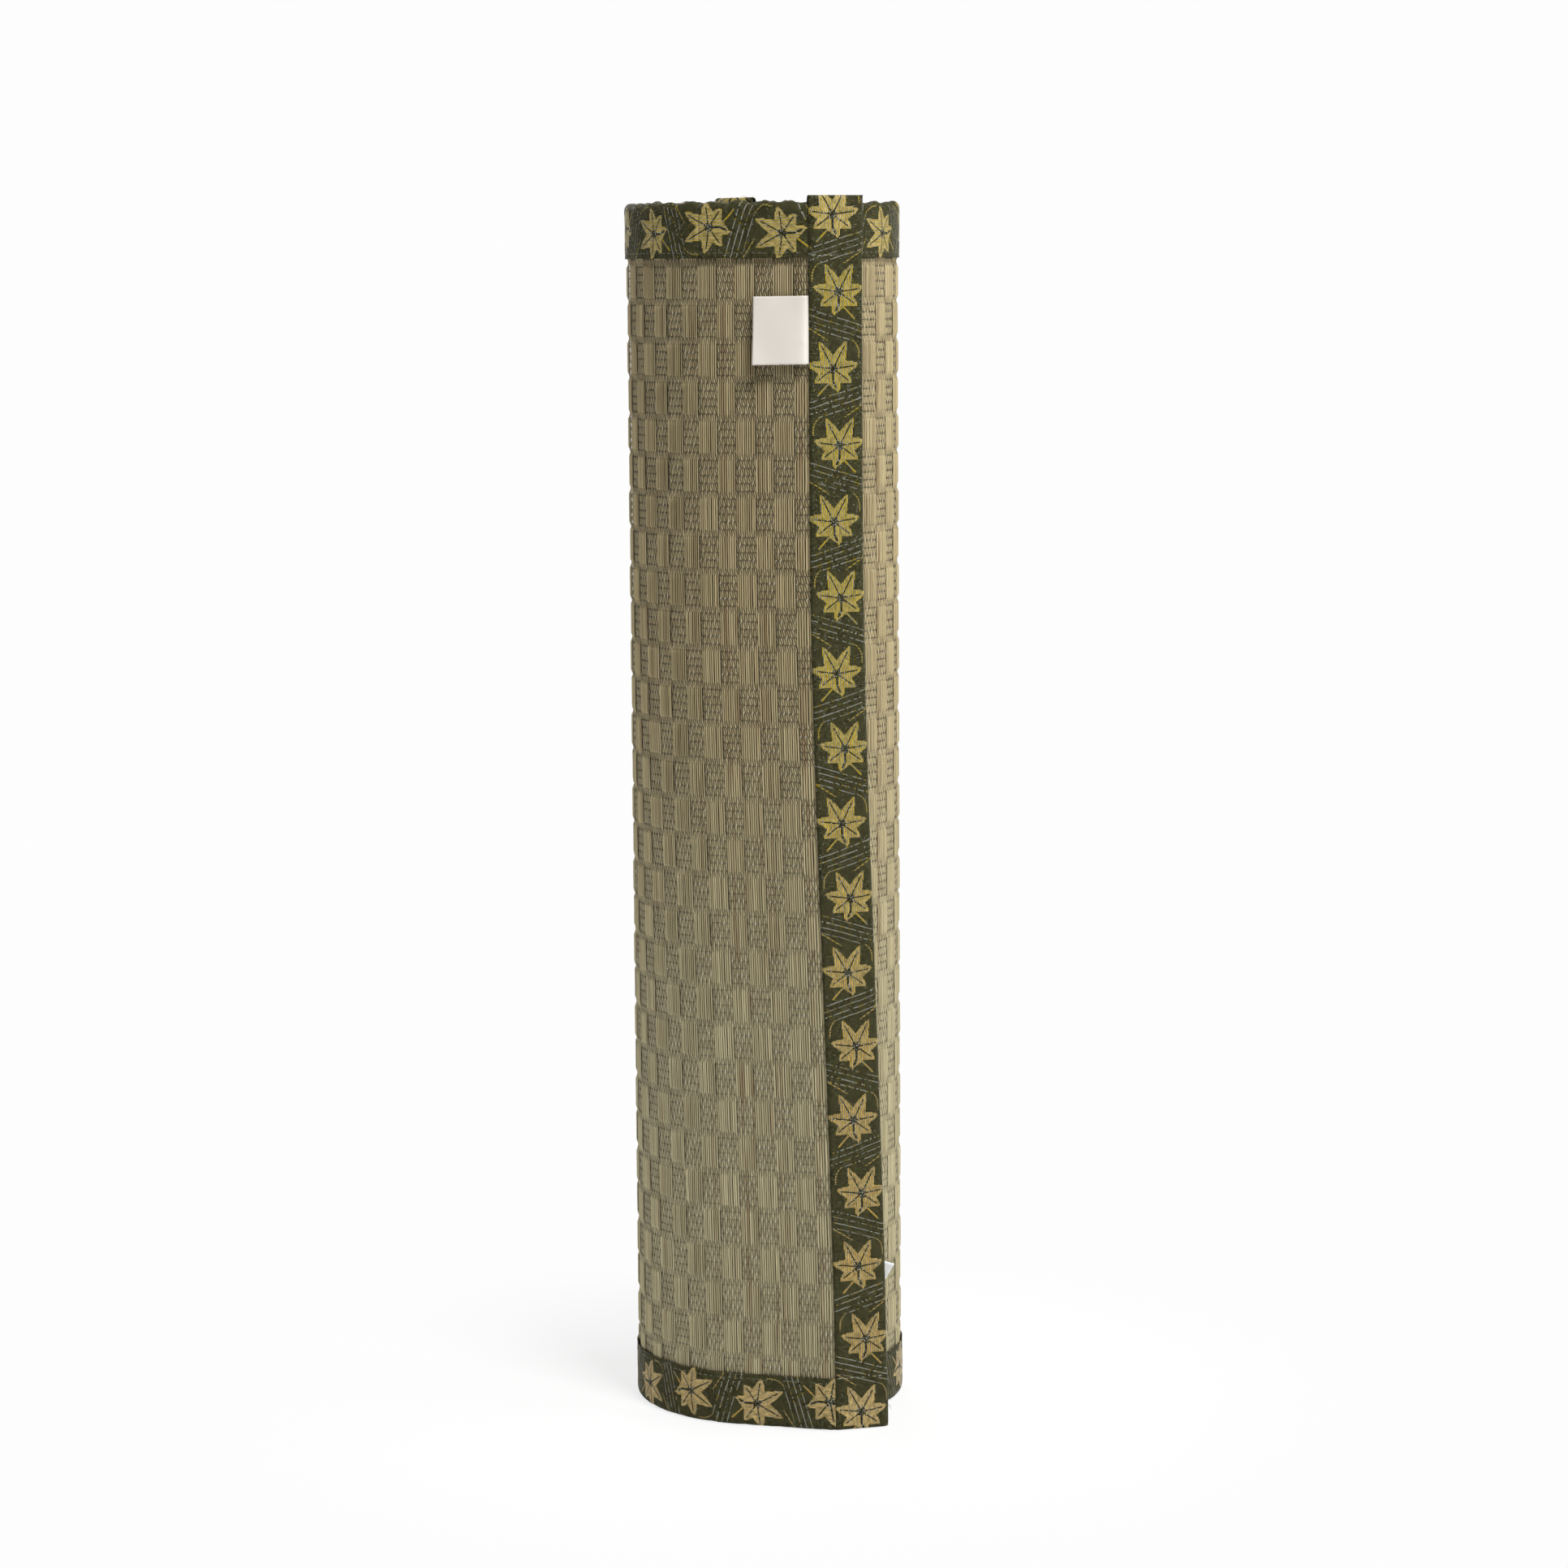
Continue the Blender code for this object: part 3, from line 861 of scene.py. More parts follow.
@dataclass(frozen=True)
class RushFinish:
    """Dried rush stems: each has its own tone, with fine streaks along it."""

    dark: str = "#6b5a3e"
    red: str = "#7d6c4c"
    olive: str = "#8a8061"
    tan: str = "#9e9575"
    pale: str = "#c2b995"
    sand: str = "#aea583"
    rust: str = "#6e5334"
    warm_light: str = "#f6e2c8"
    shadow: str = "#3f3524"
    cotton: str = "#f1eee4"
    weave: RushWeave = RushWeave()

    def material(self) -> bpy.types.Material:
        """Builds the material of the stems.

        In a tight block the stems lie as short slanting dashes between the lines where
        the cotton warps cross, and half of them go under a warp on each line.
        """
        material, nodes = new_material("rush stems")
        stem, across, lane = (nodes.attribute(name) for name in ("stem", "across", "lane"))
        rows, floating, tone = (nodes.attribute(name) for name in ("rows", "floating", "tone"))
        high = nodes.parts(nodes.place())[2].smooth(0.16, 0.42)
        tight = (1 - floating).smooth(0.25, 0.85)
        pitch = self.weave.stem_pitch
        placed = (lane - self.weave.first_block / pitch) / (self.weave.block_width / pitch)
        column = placed.floor()
        edge = (placed - column).smooth(0.88, 0.95) * (1 - (placed - column).smooth(0.98, 1.0))
        row = rows.floor()
        block = nodes.speck(nodes.vector(column, row, 2.0))
        # Painted light by place on the roll: the lanes behind the free end and beside its tip are
        # painted as softly lit from the side, with lighter crowns and shallower painted shade in the
        # gaps. From the left side round the back, where the roll turns away, the painted shade in the
        # gaps is lighter and along the warp lines darker.
        behind_flap = lane.smooth(290.0, 320.0)
        turned = lane.smooth(55.0, 95.0) * (1 - behind_flap)

        # the tight blocks' dashes between the warps, and the warps where they show
        beat = (rows - self.weave.first_warp) * self.weave.warps_per_row
        line = beat.floor()
        part = beat - line
        slant = (block * 0.50 + 0.25) * (high * 0.65 + 0.35) * (1 - turned * 0.7)
        wobble = nodes.noise(nodes.vector(lane * 0.9, beat * 0.8, 6.0), 1.0) - 0.5
        shifted = lane + (part - 0.5) * slant + wobble * 0.12
        dash = (shifted + 0.5).floor()
        local = abs(shifted - dash)
        swing = ((part + (dash + line) % 2.0) * math.pi).math("COSINE")
        to_row = abs(rows - (rows + 0.5).floor())
        closing = 1 - to_row.smooth(0.0, 0.080)
        width = swing * 0.085 + 0.380
        gap = local.smooth(width - 0.08, width + 0.04)
        rounded = (1 - (local / width) ** 2.0).most(0.0)
        nearest = (beat + 0.5).floor()
        off_line = abs(beat - nearest)
        knot = (lane + 0.5).floor()
        under = (knot + nearest) % 2.0 < 0.5
        luck = nodes.speck(nodes.vector(knot, nearest, 5.0))
        strength = ((nearest + column) % 2.0 * 0.36 + 0.12) * luck.smooth(0.25, 0.95)
        on_knot = (1 - off_line.smooth(0.05, 0.12)) * (1 - abs(lane - knot).smooth(0.18, 0.42))
        cotton = under * on_knot * strength * tight

        # each stem's own colour, and a painted warmer light on the upper part
        drifting = nodes.noise(nodes.vector(stem * 2.3, rows * 0.35), 1.0, 3.0)
        streak = nodes.noise(nodes.vector(lane * 3.7, rows * 2.2), 1.0, 3.0)
        fine = nodes.noise(nodes.vector(lane * 9.0, rows * 7.0), 1.0, 2.0)
        alone = tone * 0.35 + nodes.speck(nodes.vector(stem, row, 3.0)) * 0.65
        own = alone.toward(nodes.speck(nodes.vector(dash, line, 7.0)) * 0.6 + 0.2, tight)
        mood = own * 0.66 + drifting * 0.34 + 0.01
        tones = (self.red, self.olive, self.tan, self.sand, self.pale)
        stops = list(zip((0.0, 0.22, 0.52, 0.78, 1.0), map(tint, tones)))
        colour = nodes.add("ShaderNodeValToRGB", {"stops": stops}, {0: mood})
        patchy = nodes.noise(nodes.vector(stem, rows * 0.4), 1.0).smooth(0.40, 0.60)
        reddish = (nodes.speck(nodes.vector(stem, 1.0, 4.0)) > 0.88) * patchy
        colour = nodes.mix(reddish * 0.50, colour, tint(self.rust))
        # painted light: the upper stems take a warmer light
        colour = nodes.mix(high * 0.45, colour, nodes.mix(1.0, colour, tint(self.warm_light), "MULTIPLY"))

        # painted light and shade within the stems, for the float blocks and the tight ones: painted
        # shade in the gaps between stems, at the float ends, along the warp lines and down one edge of
        # each block, deeper towards the top, and painted highlights along the stems' middles, on the
        # raised crowns and on the float blocks' edge stems
        comb_shade = closing * (stem % 2.0) * 0.12
        seam = (abs(across) * 0.5 + comb_shade).smooth(0.21, 0.42) * (high * 0.16 + 0.82 - behind_flap * 0.22)
        float_light = (1 - seam) * (1.16 - across * across * 0.10 + edge * 0.14)
        groove_shade = gap * (high * 0.22 + 0.74 - behind_flap * 0.50 - turned * 0.34)
        crown_light = swing * 0.12 + 0.93 + behind_flap * 0.24 + turned * 0.06
        between = (off_line + luck * 0.09 - 0.03).smooth(0.02, 0.17)
        warp_line_shade = (1 - between) * (high * 0.18 + 0.32 + turned * 0.20 + behind_flap * 0.10)
        ladder_shade = edge * (high * 0.30 + 0.30) * (swing * 0.4 + 0.6)
        tight_light = (1 - groove_shade) * crown_light * (1 - warp_line_shade) * (1 - ladder_shade)
        grain = streak * 0.42 + fine * 0.16 + 0.82 - behind_flap * 0.05
        colour = nodes.shade(colour, float_light.toward(tight_light, tight) * grain)
        colour = nodes.mix(cotton, colour, tint(self.cotton))
        relief = (rounded * 0.55 + swing * 0.25 + cotton * 0.3) * tight + (streak * 0.16 + fine * 0.10)
        close_material(
            nodes, Base_Color=colour, Roughness=0.56 + fine * 0.16,
            Normal=nodes.bump(relief, 0.9, 0.00050), Specular_IOR_Level=0.30, Sheen_Weight=0.03,
            Sheen_Roughness=0.45, Sheen_Tint=(1.0, 0.95, 0.80, 1.0),
        )
        return material

    def ground(self) -> bpy.types.Material:
        """Builds the material of what shows between the stems, painted dark as the shade in the gaps.
        """
        material, nodes = new_material("rush ground")
        grain = nodes.noise(nodes.place(), 900.0, 3.0)
        colour = nodes.mix(grain, tint(self.shadow), tint(self.dark))
        close_material(nodes, Base_Color=colour, Roughness=0.85, Normal=nodes.bump(grain, 0.4, 0.0003))
        return material


@dataclass(frozen=True)
class BrocadeFinish:
    """Green twill tape with maple leaves and dashes in gold and silver thread.

    Cloth coordinates: u along the tape in the direction that a leaf's two long lobes
    point, with a leaf's middle at each whole pitch, and v across it.
    """

    ground: str = "#141307"
    ground_light: str = "#2b2a14"
    # The _high colours are for the upper part and the _low ones for the lower: painted light, more
    # vivid up high where the light falls, more beige low down.
    gold_high: str = "#b39a14"
    gold_low: str = "#bb9a48"
    grey_high: str = "#8a876f"
    grey_low: str = "#858069"
    silver: str = "#cfcfc6"
    # the colour of the painted sheen on the edge tapes' leaves
    sheen_beige: str = "#b5a680"
    bead_dark: str = "#56542f"
    bead_light: str = "#7f7c54"
    dulling: str = "#f0f0f0"
    vein_dark: str = "#222110"
    vein_grey: str = "#5d655f"
    vein_pale: str = "#dddbd0"
    pitch_mm: float = 36.55
    shift_mm: float = 23.0
    thread_mm: float = 0.50
    pick_mm: float = 0.62
    bead_mm: float = 0.88
    course_mm: float = 2.85
    dash_mm: float = 1.00
    vein_mm: float = 0.34
    core_mm: float = 2.3
    stalk_mm: tuple[float, float] = (0.42, 7.6)
    stalk_root_mm: tuple[float, float] = (2.6, -7.4)
    stalk_way: tuple[float, float] = (0.688, -0.726)
    reach_mm: float = 16.0
    spread: float = 30.0
    outline: tuple[tuple[float, float], ...] = (
        (0, 6.3), (9, 7.9), (14, 9.5), (20, 11.7), (27.5, 15.0), (34, 12.2), (42, 9.8), (49, 8.5),
        (54, 7.5), (58, 7.6), (64, 8.8), (71, 10.6), (79, 12.9), (88, 10.9), (96, 9.1), (103, 8.1),
        (108, 7.8), (113, 8.6), (119.5, 10.0), (127, 11.6), (136, 9.6), (145, 8.3), (152, 7.4),
        (160, 8.1), (168, 9.2), (175, 10.3), (180, 11.1),
    )
    veins: tuple[tuple[float, float], ...] = (
        (0, 27.5), (27.5, 0), (54.75, 27.25), (82, 0), (104, 22), (126, 0), (152, 26), (178, 0),
        (180, 2),
    )

    @staticmethod
    def polar(a: Value, b: Value) -> tuple[Value, Value]:
        """Distance from the leaf's middle, and angle off its tip as a share of a half turn."""
        return (a * a + b * b).math("SQRT"), abs(a.math("ARCTAN2", b)) / math.pi

    @staticmethod
    def trace(nodes: Nodes, corners: Sequence[tuple[float, float]], top: float, angle: Value) -> Value:
        """A length by angle, from corners in degrees and lengths up to this top."""
        points = [(degrees / 180, length / top) for degrees, length in corners]
        return nodes.add("ShaderNodeFloatCurve", {"points": points}, {"Value": angle})

    def material(self) -> bpy.types.Material:
        """Builds the material.

        The ground is a dark twill with a bead of pale thread on each place of the loom's
        lattice. Leaves are filled with long threads, gold and grey in turn.
        """
        material, nodes = new_material("brocade tape")
        # millimetres from the middle of a leaf: a across the tape, b towards its tip
        u, v, _ = nodes.parts(nodes.cloth())
        along, across = u * 1000.0, v * 1000.0
        shifted = along + self.shift_mm
        repeat = (shifted / self.pitch_mm).floor()
        b = shifted - repeat * self.pitch_mm - self.shift_mm
        side = (repeat % 2.0) * 2.0 - 1.0
        a = across * side - 1.5
        height = nodes.parts(nodes.place())[2]
        high = height.smooth(0.12, 0.42)

        # the leaf, stepped as the loom steps it, and its veins
        step_a, step_b = (a / self.thread_mm).floor(), (b / self.pick_mm).floor()
        qa, qb = (step_a + 0.5) * self.thread_mm, (step_b + 0.5) * self.pick_mm
        lean = (-qb).smooth(5.0, 12.5) * (1 - abs(qa + 1.4).smooth(3.5, 6.0)) * 2.8
        radius, angle = self.polar(qa + lean, qb)
        limit = self.trace(nodes, self.outline, self.reach_mm, angle) * self.reach_mm
        leaf = radius < limit
        fine_radius, fine_angle = self.polar(a + lean, b)
        aside = self.trace(nodes, self.veins, self.spread, fine_angle) * math.radians(self.spread)
        vein = ((aside * fine_radius) < self.vein_mm) * (radius < limit * 0.84)

        # the lattice of beads
        pick = (along / self.pick_mm).floor()
        brick = across / self.bead_mm + (pick % 2.0) * 0.5
        bead = brick.floor()
        du, dv = brick - bead - 0.5, (along / self.pick_mm).fraction() - 0.5
        spot = 1 - (du * du * 11.0 + dv * dv * 7.0).math("SQRT").smooth(0.70, 1.00)
        luck = nodes.speck(nodes.vector(bead, pick, 3.0))
        other_luck = nodes.speck(nodes.vector(bead, pick, 8.0))
        # pale specks in the ground, with more of them towards the top as painted glints
        stray = luck > (0.993 - high * 0.030)

        # the rows of dashes between the leaves
        curl = nodes.noise(nodes.vector(a * 0.06, b * 0.02, repeat * 3.0), 1.0) - 0.5
        level = b + a * 0.31 + curl * 1.4 + 12.4
        course = (level / self.course_mm + 0.5).floor()
        beat = a / self.dash_mm + course * 0.37
        dash_luck = nodes.speck(nodes.vector(beat.floor(), course, repeat))
        dash = 1 - abs(beat.fraction() - 0.5).smooth(0.28, 0.42)
        line = 1 - abs(level - course * self.course_mm).smooth(0.14, 0.32)
        weight = nodes.speck(nodes.vector(course, repeat, 6.0)) * 0.40 + 0.60
        stream = line * dash * (abs(level + 4.2) < 5.2) * (dash_luck > 0.22) * weight
        tick = 1 - abs((b / 1.4).fraction() - 0.5).smooth(0.26, 0.40)
        climb = (1 - abs(b + a * 0.66 + 26.7).smooth(0.20, 0.42)) * tick * (b < -16.0)
        bow = 1 - abs(a + 12.9 - ((b - 6.0).most(0.0) / 9.4) ** 3.0 * 6.0).smooth(0.18, 0.38)
        bow_row = bow * (b > 5.0) * tick
        dashes = stream.most(climb).most(bow_row).most(stray * spot)

        # the stalk, which runs off aslant from the leaf's foot
        (root_a, root_b), (stalk_a, stalk_b) = self.stalk_root_mm, self.stalk_way
        forward = (a - root_a) * stalk_a + (b - root_b) * stalk_b
        aslant = (a - root_a) * -stalk_b + (b - root_b) * stalk_a
        breadth, length = self.stalk_mm
        stalk = (abs(aslant) < breadth) * (forward > 0.0) * (forward < length)
        stalk = stalk * ((forward / 0.80).fraction() < 0.74)

        # the long threads that fill a leaf
        start = nodes.speck(nodes.vector(step_a, repeat)) * 3.0
        hue = nodes.speck(nodes.vector(step_a, (b / 4.1 + start).floor(), repeat))
        share = ((step_a % 2.0) * 0.62 + hue * 0.50).smooth(0.36, 0.66)
        # painted light: the threads are more vivid towards the top
        gold = nodes.mix(high, tint(self.gold_low), tint(self.gold_high))
        grey = nodes.mix(high, tint(self.grey_low), tint(self.grey_high))
        fill = nodes.mix(share, grey, gold)
        gap = abs((a / self.thread_mm).fraction() - 0.5).smooth(0.24, 0.44)
        gleam = nodes.speck(nodes.vector(step_a, (b / 1.1 + hue * 2.0).floor(), 9.0))
        # painted sheen: near the mat's top and foot the leaves turn pale beige in patches, and patches
        # of every leaf are painted brighter
        rim = abs(height - PATH.mat_width / 2).smooth(0.268, 0.280)
        sheen = nodes.noise(nodes.vector(a * 0.42, b * 0.30, repeat * 5.0), 1.0).smooth(0.30, 0.70)
        painted_sheen = rim * (0.72 - share * 0.52) * (sheen * 0.5 + 0.5)
        fill = nodes.mix(painted_sheen, fill, tint(self.sheen_beige))
        fill = nodes.shade(fill, (1 - gap * 0.92) * (0.62 + gleam * 0.66 + sheen * 0.36))

        # all of it over the ground
        mottled = nodes.noise(nodes.vector(along * 0.25, across * 0.4), 1.0)
        weft = (across / 0.375).fraction().smooth(0.1, 0.9)
        base = nodes.mix(mottled * 0.7 + weft * 0.3, tint(self.ground), tint(self.ground_light))
        pale = nodes.mix(other_luck, tint(self.bead_dark), tint(self.bead_light))
        yellow = nodes.mix(1.0, gold, tint(self.dulling), "MULTIPLY")
        golden = (dash_luck > 0.88).most(bow_row).most(climb)
        brightness = (dash_luck * 0.46 + 0.24).most(golden * 0.9)
        lit = nodes.shade(nodes.mix(golden, tint(self.silver), yellow), brightness)
        colour = nodes.mix(spot, base, nodes.shade(pale, luck + 0.25))
        colour = nodes.mix(dashes, colour, lit)
        colour = nodes.mix(stalk * 0.92, colour, nodes.mix(hue > 0.40, grey, gold))
        flake = nodes.speck(nodes.vector(step_a, step_b, 5.0))
        core = (fine_radius < self.core_mm) * (flake > 0.35)
        body = leaf * (1 - vein) * (1 - core)
        colour = nodes.mix(body, colour, fill)
        cut = leaf * vein.most(core)
        glint = nodes.mix(flake > 0.72, tint(self.vein_grey), tint(self.vein_pale))
        veining = nodes.mix(spot * (luck > 0.42), tint(self.vein_dark), glint)
        colour = nodes.mix(cut, colour, veining)
        raised = body * 0.55 + stalk * 0.4 + spot * (1 - body) * 0.40 - gap * body * 0.40
        close_material(
            nodes, Base_Color=colour, Roughness=0.82 - body.most(dashes).most(stalk) * 0.36,
            Normal=nodes.bump(raised, 0.55, 0.00018), Specular_IOR_Level=0.14, Sheen_Weight=0.32,
            Sheen_Roughness=0.20, Sheen_Tint=(1.0, 0.96, 0.82, 1.0),
        )
        return material


@dataclass(frozen=True)
class BackingFinish:
    """A soft non-slip foam backing with a fine pebbled grain."""

    dark: str = "#33362a"
    light: str = "#4a4d3d"

    def material(self) -> bpy.types.Material:
        """Builds the material."""
        material, nodes = new_material("backing foam")
        cloth = nodes.cloth()
        inputs = {"Vector": cloth, "Scale": 620.0}
        pebble = nodes.add("ShaderNodeTexVoronoi", {"feature": "SMOOTH_F1"}, inputs, "Distance")
        cloud = nodes.noise(cloth, 45.0, 4.0)
        # darker in cloudy patches of the foam, and painted shade in the hollows between the pebbles
        shadow = (cloud * 0.8 + pebble * 0.35).smooth(0.25, 0.95)
        colour = nodes.mix(shadow, tint(self.light), tint(self.dark))
        bump = nodes.bump(1 - pebble, 0.6, 0.0003)
        close_material(nodes, Base_Color=colour, Roughness=0.88, Normal=bump)
        return material


@dataclass(frozen=True)
class ThreadFinish:
    """Sewing thread, twisted, in olive with a pale sheen."""

    name: str = "sewing thread"
    dark: str = "#3a3c2c"
    light: str = "#757860"

    def material(self) -> bpy.types.Material:
        """Builds the material."""
        material, nodes = new_material(self.name)
        place = nodes.place()
        inputs = {"Vector": place, "Scale": 1500.0, "Distortion": 1.5}
        ply = nodes.add("ShaderNodeTexWave", {"bands_direction": "DIAGONAL"}, inputs, "Fac")
        uneven = nodes.noise(place, 800.0)
        colour = nodes.mix(ply * 0.6 + uneven * 0.5, tint(self.dark), tint(self.light))
        close_material(nodes, Base_Color=colour, Roughness=0.6, Normal=nodes.bump(ply, 0.5, 0.0001))
        return material


@dataclass(frozen=True)
class LabelFinish:
    """Off-white cotton twill."""

    warp: str = "#e4dfd7"
    weft: str = "#d3cbc0"
    stain: str = "#dccfbd"

    def material(self) -> bpy.types.Material:
        """Builds the material."""
        material, nodes = new_material("label twill")
        out, up, _ = nodes.parts(nodes.cloth())
        u, v = out * 1000.0, up * 1000.0
        twill = abs(((u + v) / 0.46).fraction() - 0.5) * 2.0
        yarn = nodes.noise(nodes.vector(u * 0.9, v * 9.0), 1.0, 3.0)
        cross = nodes.noise(nodes.vector(u * 9.0, v * 0.9, 5.0), 1.0, 3.0)
        stain = nodes.noise(nodes.vector(u * 0.12, v * 0.12, 2.0), 1.0)
        colour = nodes.mix(twill * 0.45 + yarn * 0.35 + cross * 0.2, tint(self.weft), tint(self.warp))
        colour = nodes.mix(stain.smooth(0.45, 0.8) * 0.25, colour, tint(self.stain))
        relief = twill * 0.5 + yarn * 0.3 + cross * 0.3
        close_material(nodes, Base_Color=colour, Roughness=0.9, Normal=nodes.bump(relief, 0.45, 0.0001))
        return material


@dataclass(frozen=True)
class FilmFinish:
    """A scrap of thin clear film, cloudy with creases, with a painted highlight along its cut edge."""

    haze: str = "#dfe2e4"
    clear: str = "#f8f9fa"
    side: float = 0.013

    def material(self) -> bpy.types.Material:
        """Builds the material."""
        material, nodes = new_material("clear film")
        cloth = nodes.cloth()
        u, v, _ = nodes.parts(cloth)
        crease = nodes.noise(cloth, 260.0, 4.0)
        # painted highlight: more opaque along the cut edge
        rim = u.least(self.side - u).least(v).least(self.side - v).smooth(0.0010, 0.0001)
        colour = nodes.mix(crease, tint(self.haze), tint(self.clear))
        close_material(
            nodes, Base_Color=colour, Roughness=0.12 + crease * 0.2, IOR=1.45,
            Normal=nodes.bump(crease, 0.5, 0.0003),
            Alpha=(0.42 + crease * 0.28 + rim * 0.35).least(1.0),
        )
        return material


# ---------------------------------------------------------------- the mat's pieces


@dataclass
class LayerSheet:
    """One layer of the mat, a slab between two offsets, rolled and free."""

    name: str
    inside: float
    outside: float
    low: float = 0.0016
    high: float = 0.5984
    rows: int = 24
    bake_lines: int = 4

    def build(self, stretch: Stretch) -> bpy.types.Object:
        """Makes one stretch of the layer."""
        heights = np.linspace(self.low, self.high, self.rows)
        reach = stretch.sections(heights)
        height = np.broadcast_to(heights[None, :], reach.shape)
        front = PATH.place(reach, height, self.outside)
        back = PATH.place(reach, height, self.inside)
        shell = Shell()
        rows = 1 if stretch.to_tip else self.bake_lines
        shell.thick(front, back, np.stack([reach, height], axis=-1), rows)
        return shell.build(f"{self.name}_{stretch.part}")


@dataclass
class EdgeTape:
    """The brocade tape folded over one long edge of the mat."""

    name: str
    at_top: bool
    leaf_start: float
    outside: float = 0.00335
    inside: float = -0.00345
    thickness: float = 0.0004
    depth: float = 0.0034
    bake_lines: int = 8

    @property
    def middle(self) -> float:
        """Offset of the fold's middle."""
        return (self.outside + self.inside) / 2

    @property
    def half(self) -> float:
        """Half the fold's thickness."""
        return (self.outside - self.inside) / 2

    def profile(self) -> tuple[Array, Array]:
        """The fold's section from its hem on the rush side, round the edge, to the other hem.

        Returns:
            Height above the mat's edge and offset, one for each point.
        """
        leg = np.array([TAPE_WIDTH, 0.02605, 0.0248, 0.0220, 0.0180, 0.0140, 0.0100, 0.0065, 0.0045])
        turn = np.linspace(0, math.pi, 13)
        square = 1.0 if self.at_top else 0.70
        cosine = np.sign(np.cos(turn)) * np.abs(np.cos(turn)) ** square
        rise = np.concatenate([leg, self.depth * (1 - np.sin(turn) ** square), leg[::-1]])
        ends = np.full(len(leg), self.half)
        return rise, self.middle + np.concatenate([ends, self.half * cosine, -ends])

    def surface(self, reach: Array, inset: float) -> Array:
        """One side of the tape along these reaches.

        Args:
            reach: stations x profile points.
            inset: how far in from the outer surface.

        Returns:
            World points.
        """
        rise, offset = self.profile()
        side = offset - self.middle
        height = np.maximum(rise, self.depth - (self.depth - rise) * (self.depth - inset) / self.depth)
        height = np.broadcast_to(height[None, :], reach.shape)
        side = np.broadcast_to(side * (self.half - inset) / self.half, reach.shape)
        outward = np.sign(side)
        fold = smooth(0.009, 0.001, height)
        if self.at_top:
            wave = (
                np.sin(reach * math.tau / 0.0127) * 0.55
                + np.sin(reach * math.tau / 0.0206 + 1.3) * 0.30
                + np.sin(reach * math.tau / 0.0071 + 0.4) * 0.18
            )
            height = height - fold * wave * 0.00100 * (1 + 0.5 * np.sin(reach * 41.0 + 0.8))
            side = side + smooth(0.012, 0.004, height) * wave * 0.00020 * outward
        else:
            wave = np.sin(reach * math.tau / 0.0190 + 0.7) * 0.5
            wave = wave + np.sin(reach * math.tau / 0.0083) * 0.3
            height = height + fold * np.maximum(wave, 0) * 0.00030
        seam = np.exp(-(((height - TAPE_SEAM) / 0.0009) ** 2)) * 0.00022
        ripple = np.sin(reach * math.tau / 0.0152 + height * 260.0) * 0.00007
        side = side + (ripple - seam) * outward
        level = PATH.mat_width - height if self.at_top else height
        crease = PATH.crease(level)
        covered = smooth(crease - 0.0012, crease + 0.0016, reach) * smooth(0.0, self.half * 0.6, side)
        return PATH.place(reach, level, self.middle + side - covered * 0.0006)

    def build(self, stretch: Stretch) -> bpy.types.Object:
        """Makes one stretch of the tape."""
        rise, offset = self.profile()
        length = np.concatenate([[0], np.cumsum(np.hypot(np.diff(rise), np.diff(offset)))])
        edge = np.array([PATH.mat_width if self.at_top else 0.0])
        stops = stretch.sections(edge)
        reach = np.broadcast_to(stops, (len(stops), len(rise)))
        across = np.broadcast_to(length[None, :] - TAPE_WIDTH / 2, reach.shape)
        run = np.maximum(-reach, 0)
        drawn = 0.0042 * (smooth(0.020, 0.060, run) - smooth(0.080, 0.160, run))
        worn = -reach + run * 0.049 + drawn
        turned = 1 if self.at_top else -1
        cloth = np.stack([worn * turned - self.leaf_start, across * turned], axis=-1)
        sides = [self.surface(reach, 0.0), self.surface(reach, self.thickness), cloth]
        if self.at_top:
            sides = [side[:, ::-1] for side in sides]
        shell = Shell()
        shell.thick(*sides, rows=1 if stretch.to_tip else self.bake_lines)
        return shell.build(f"{self.name}_{stretch.part}")


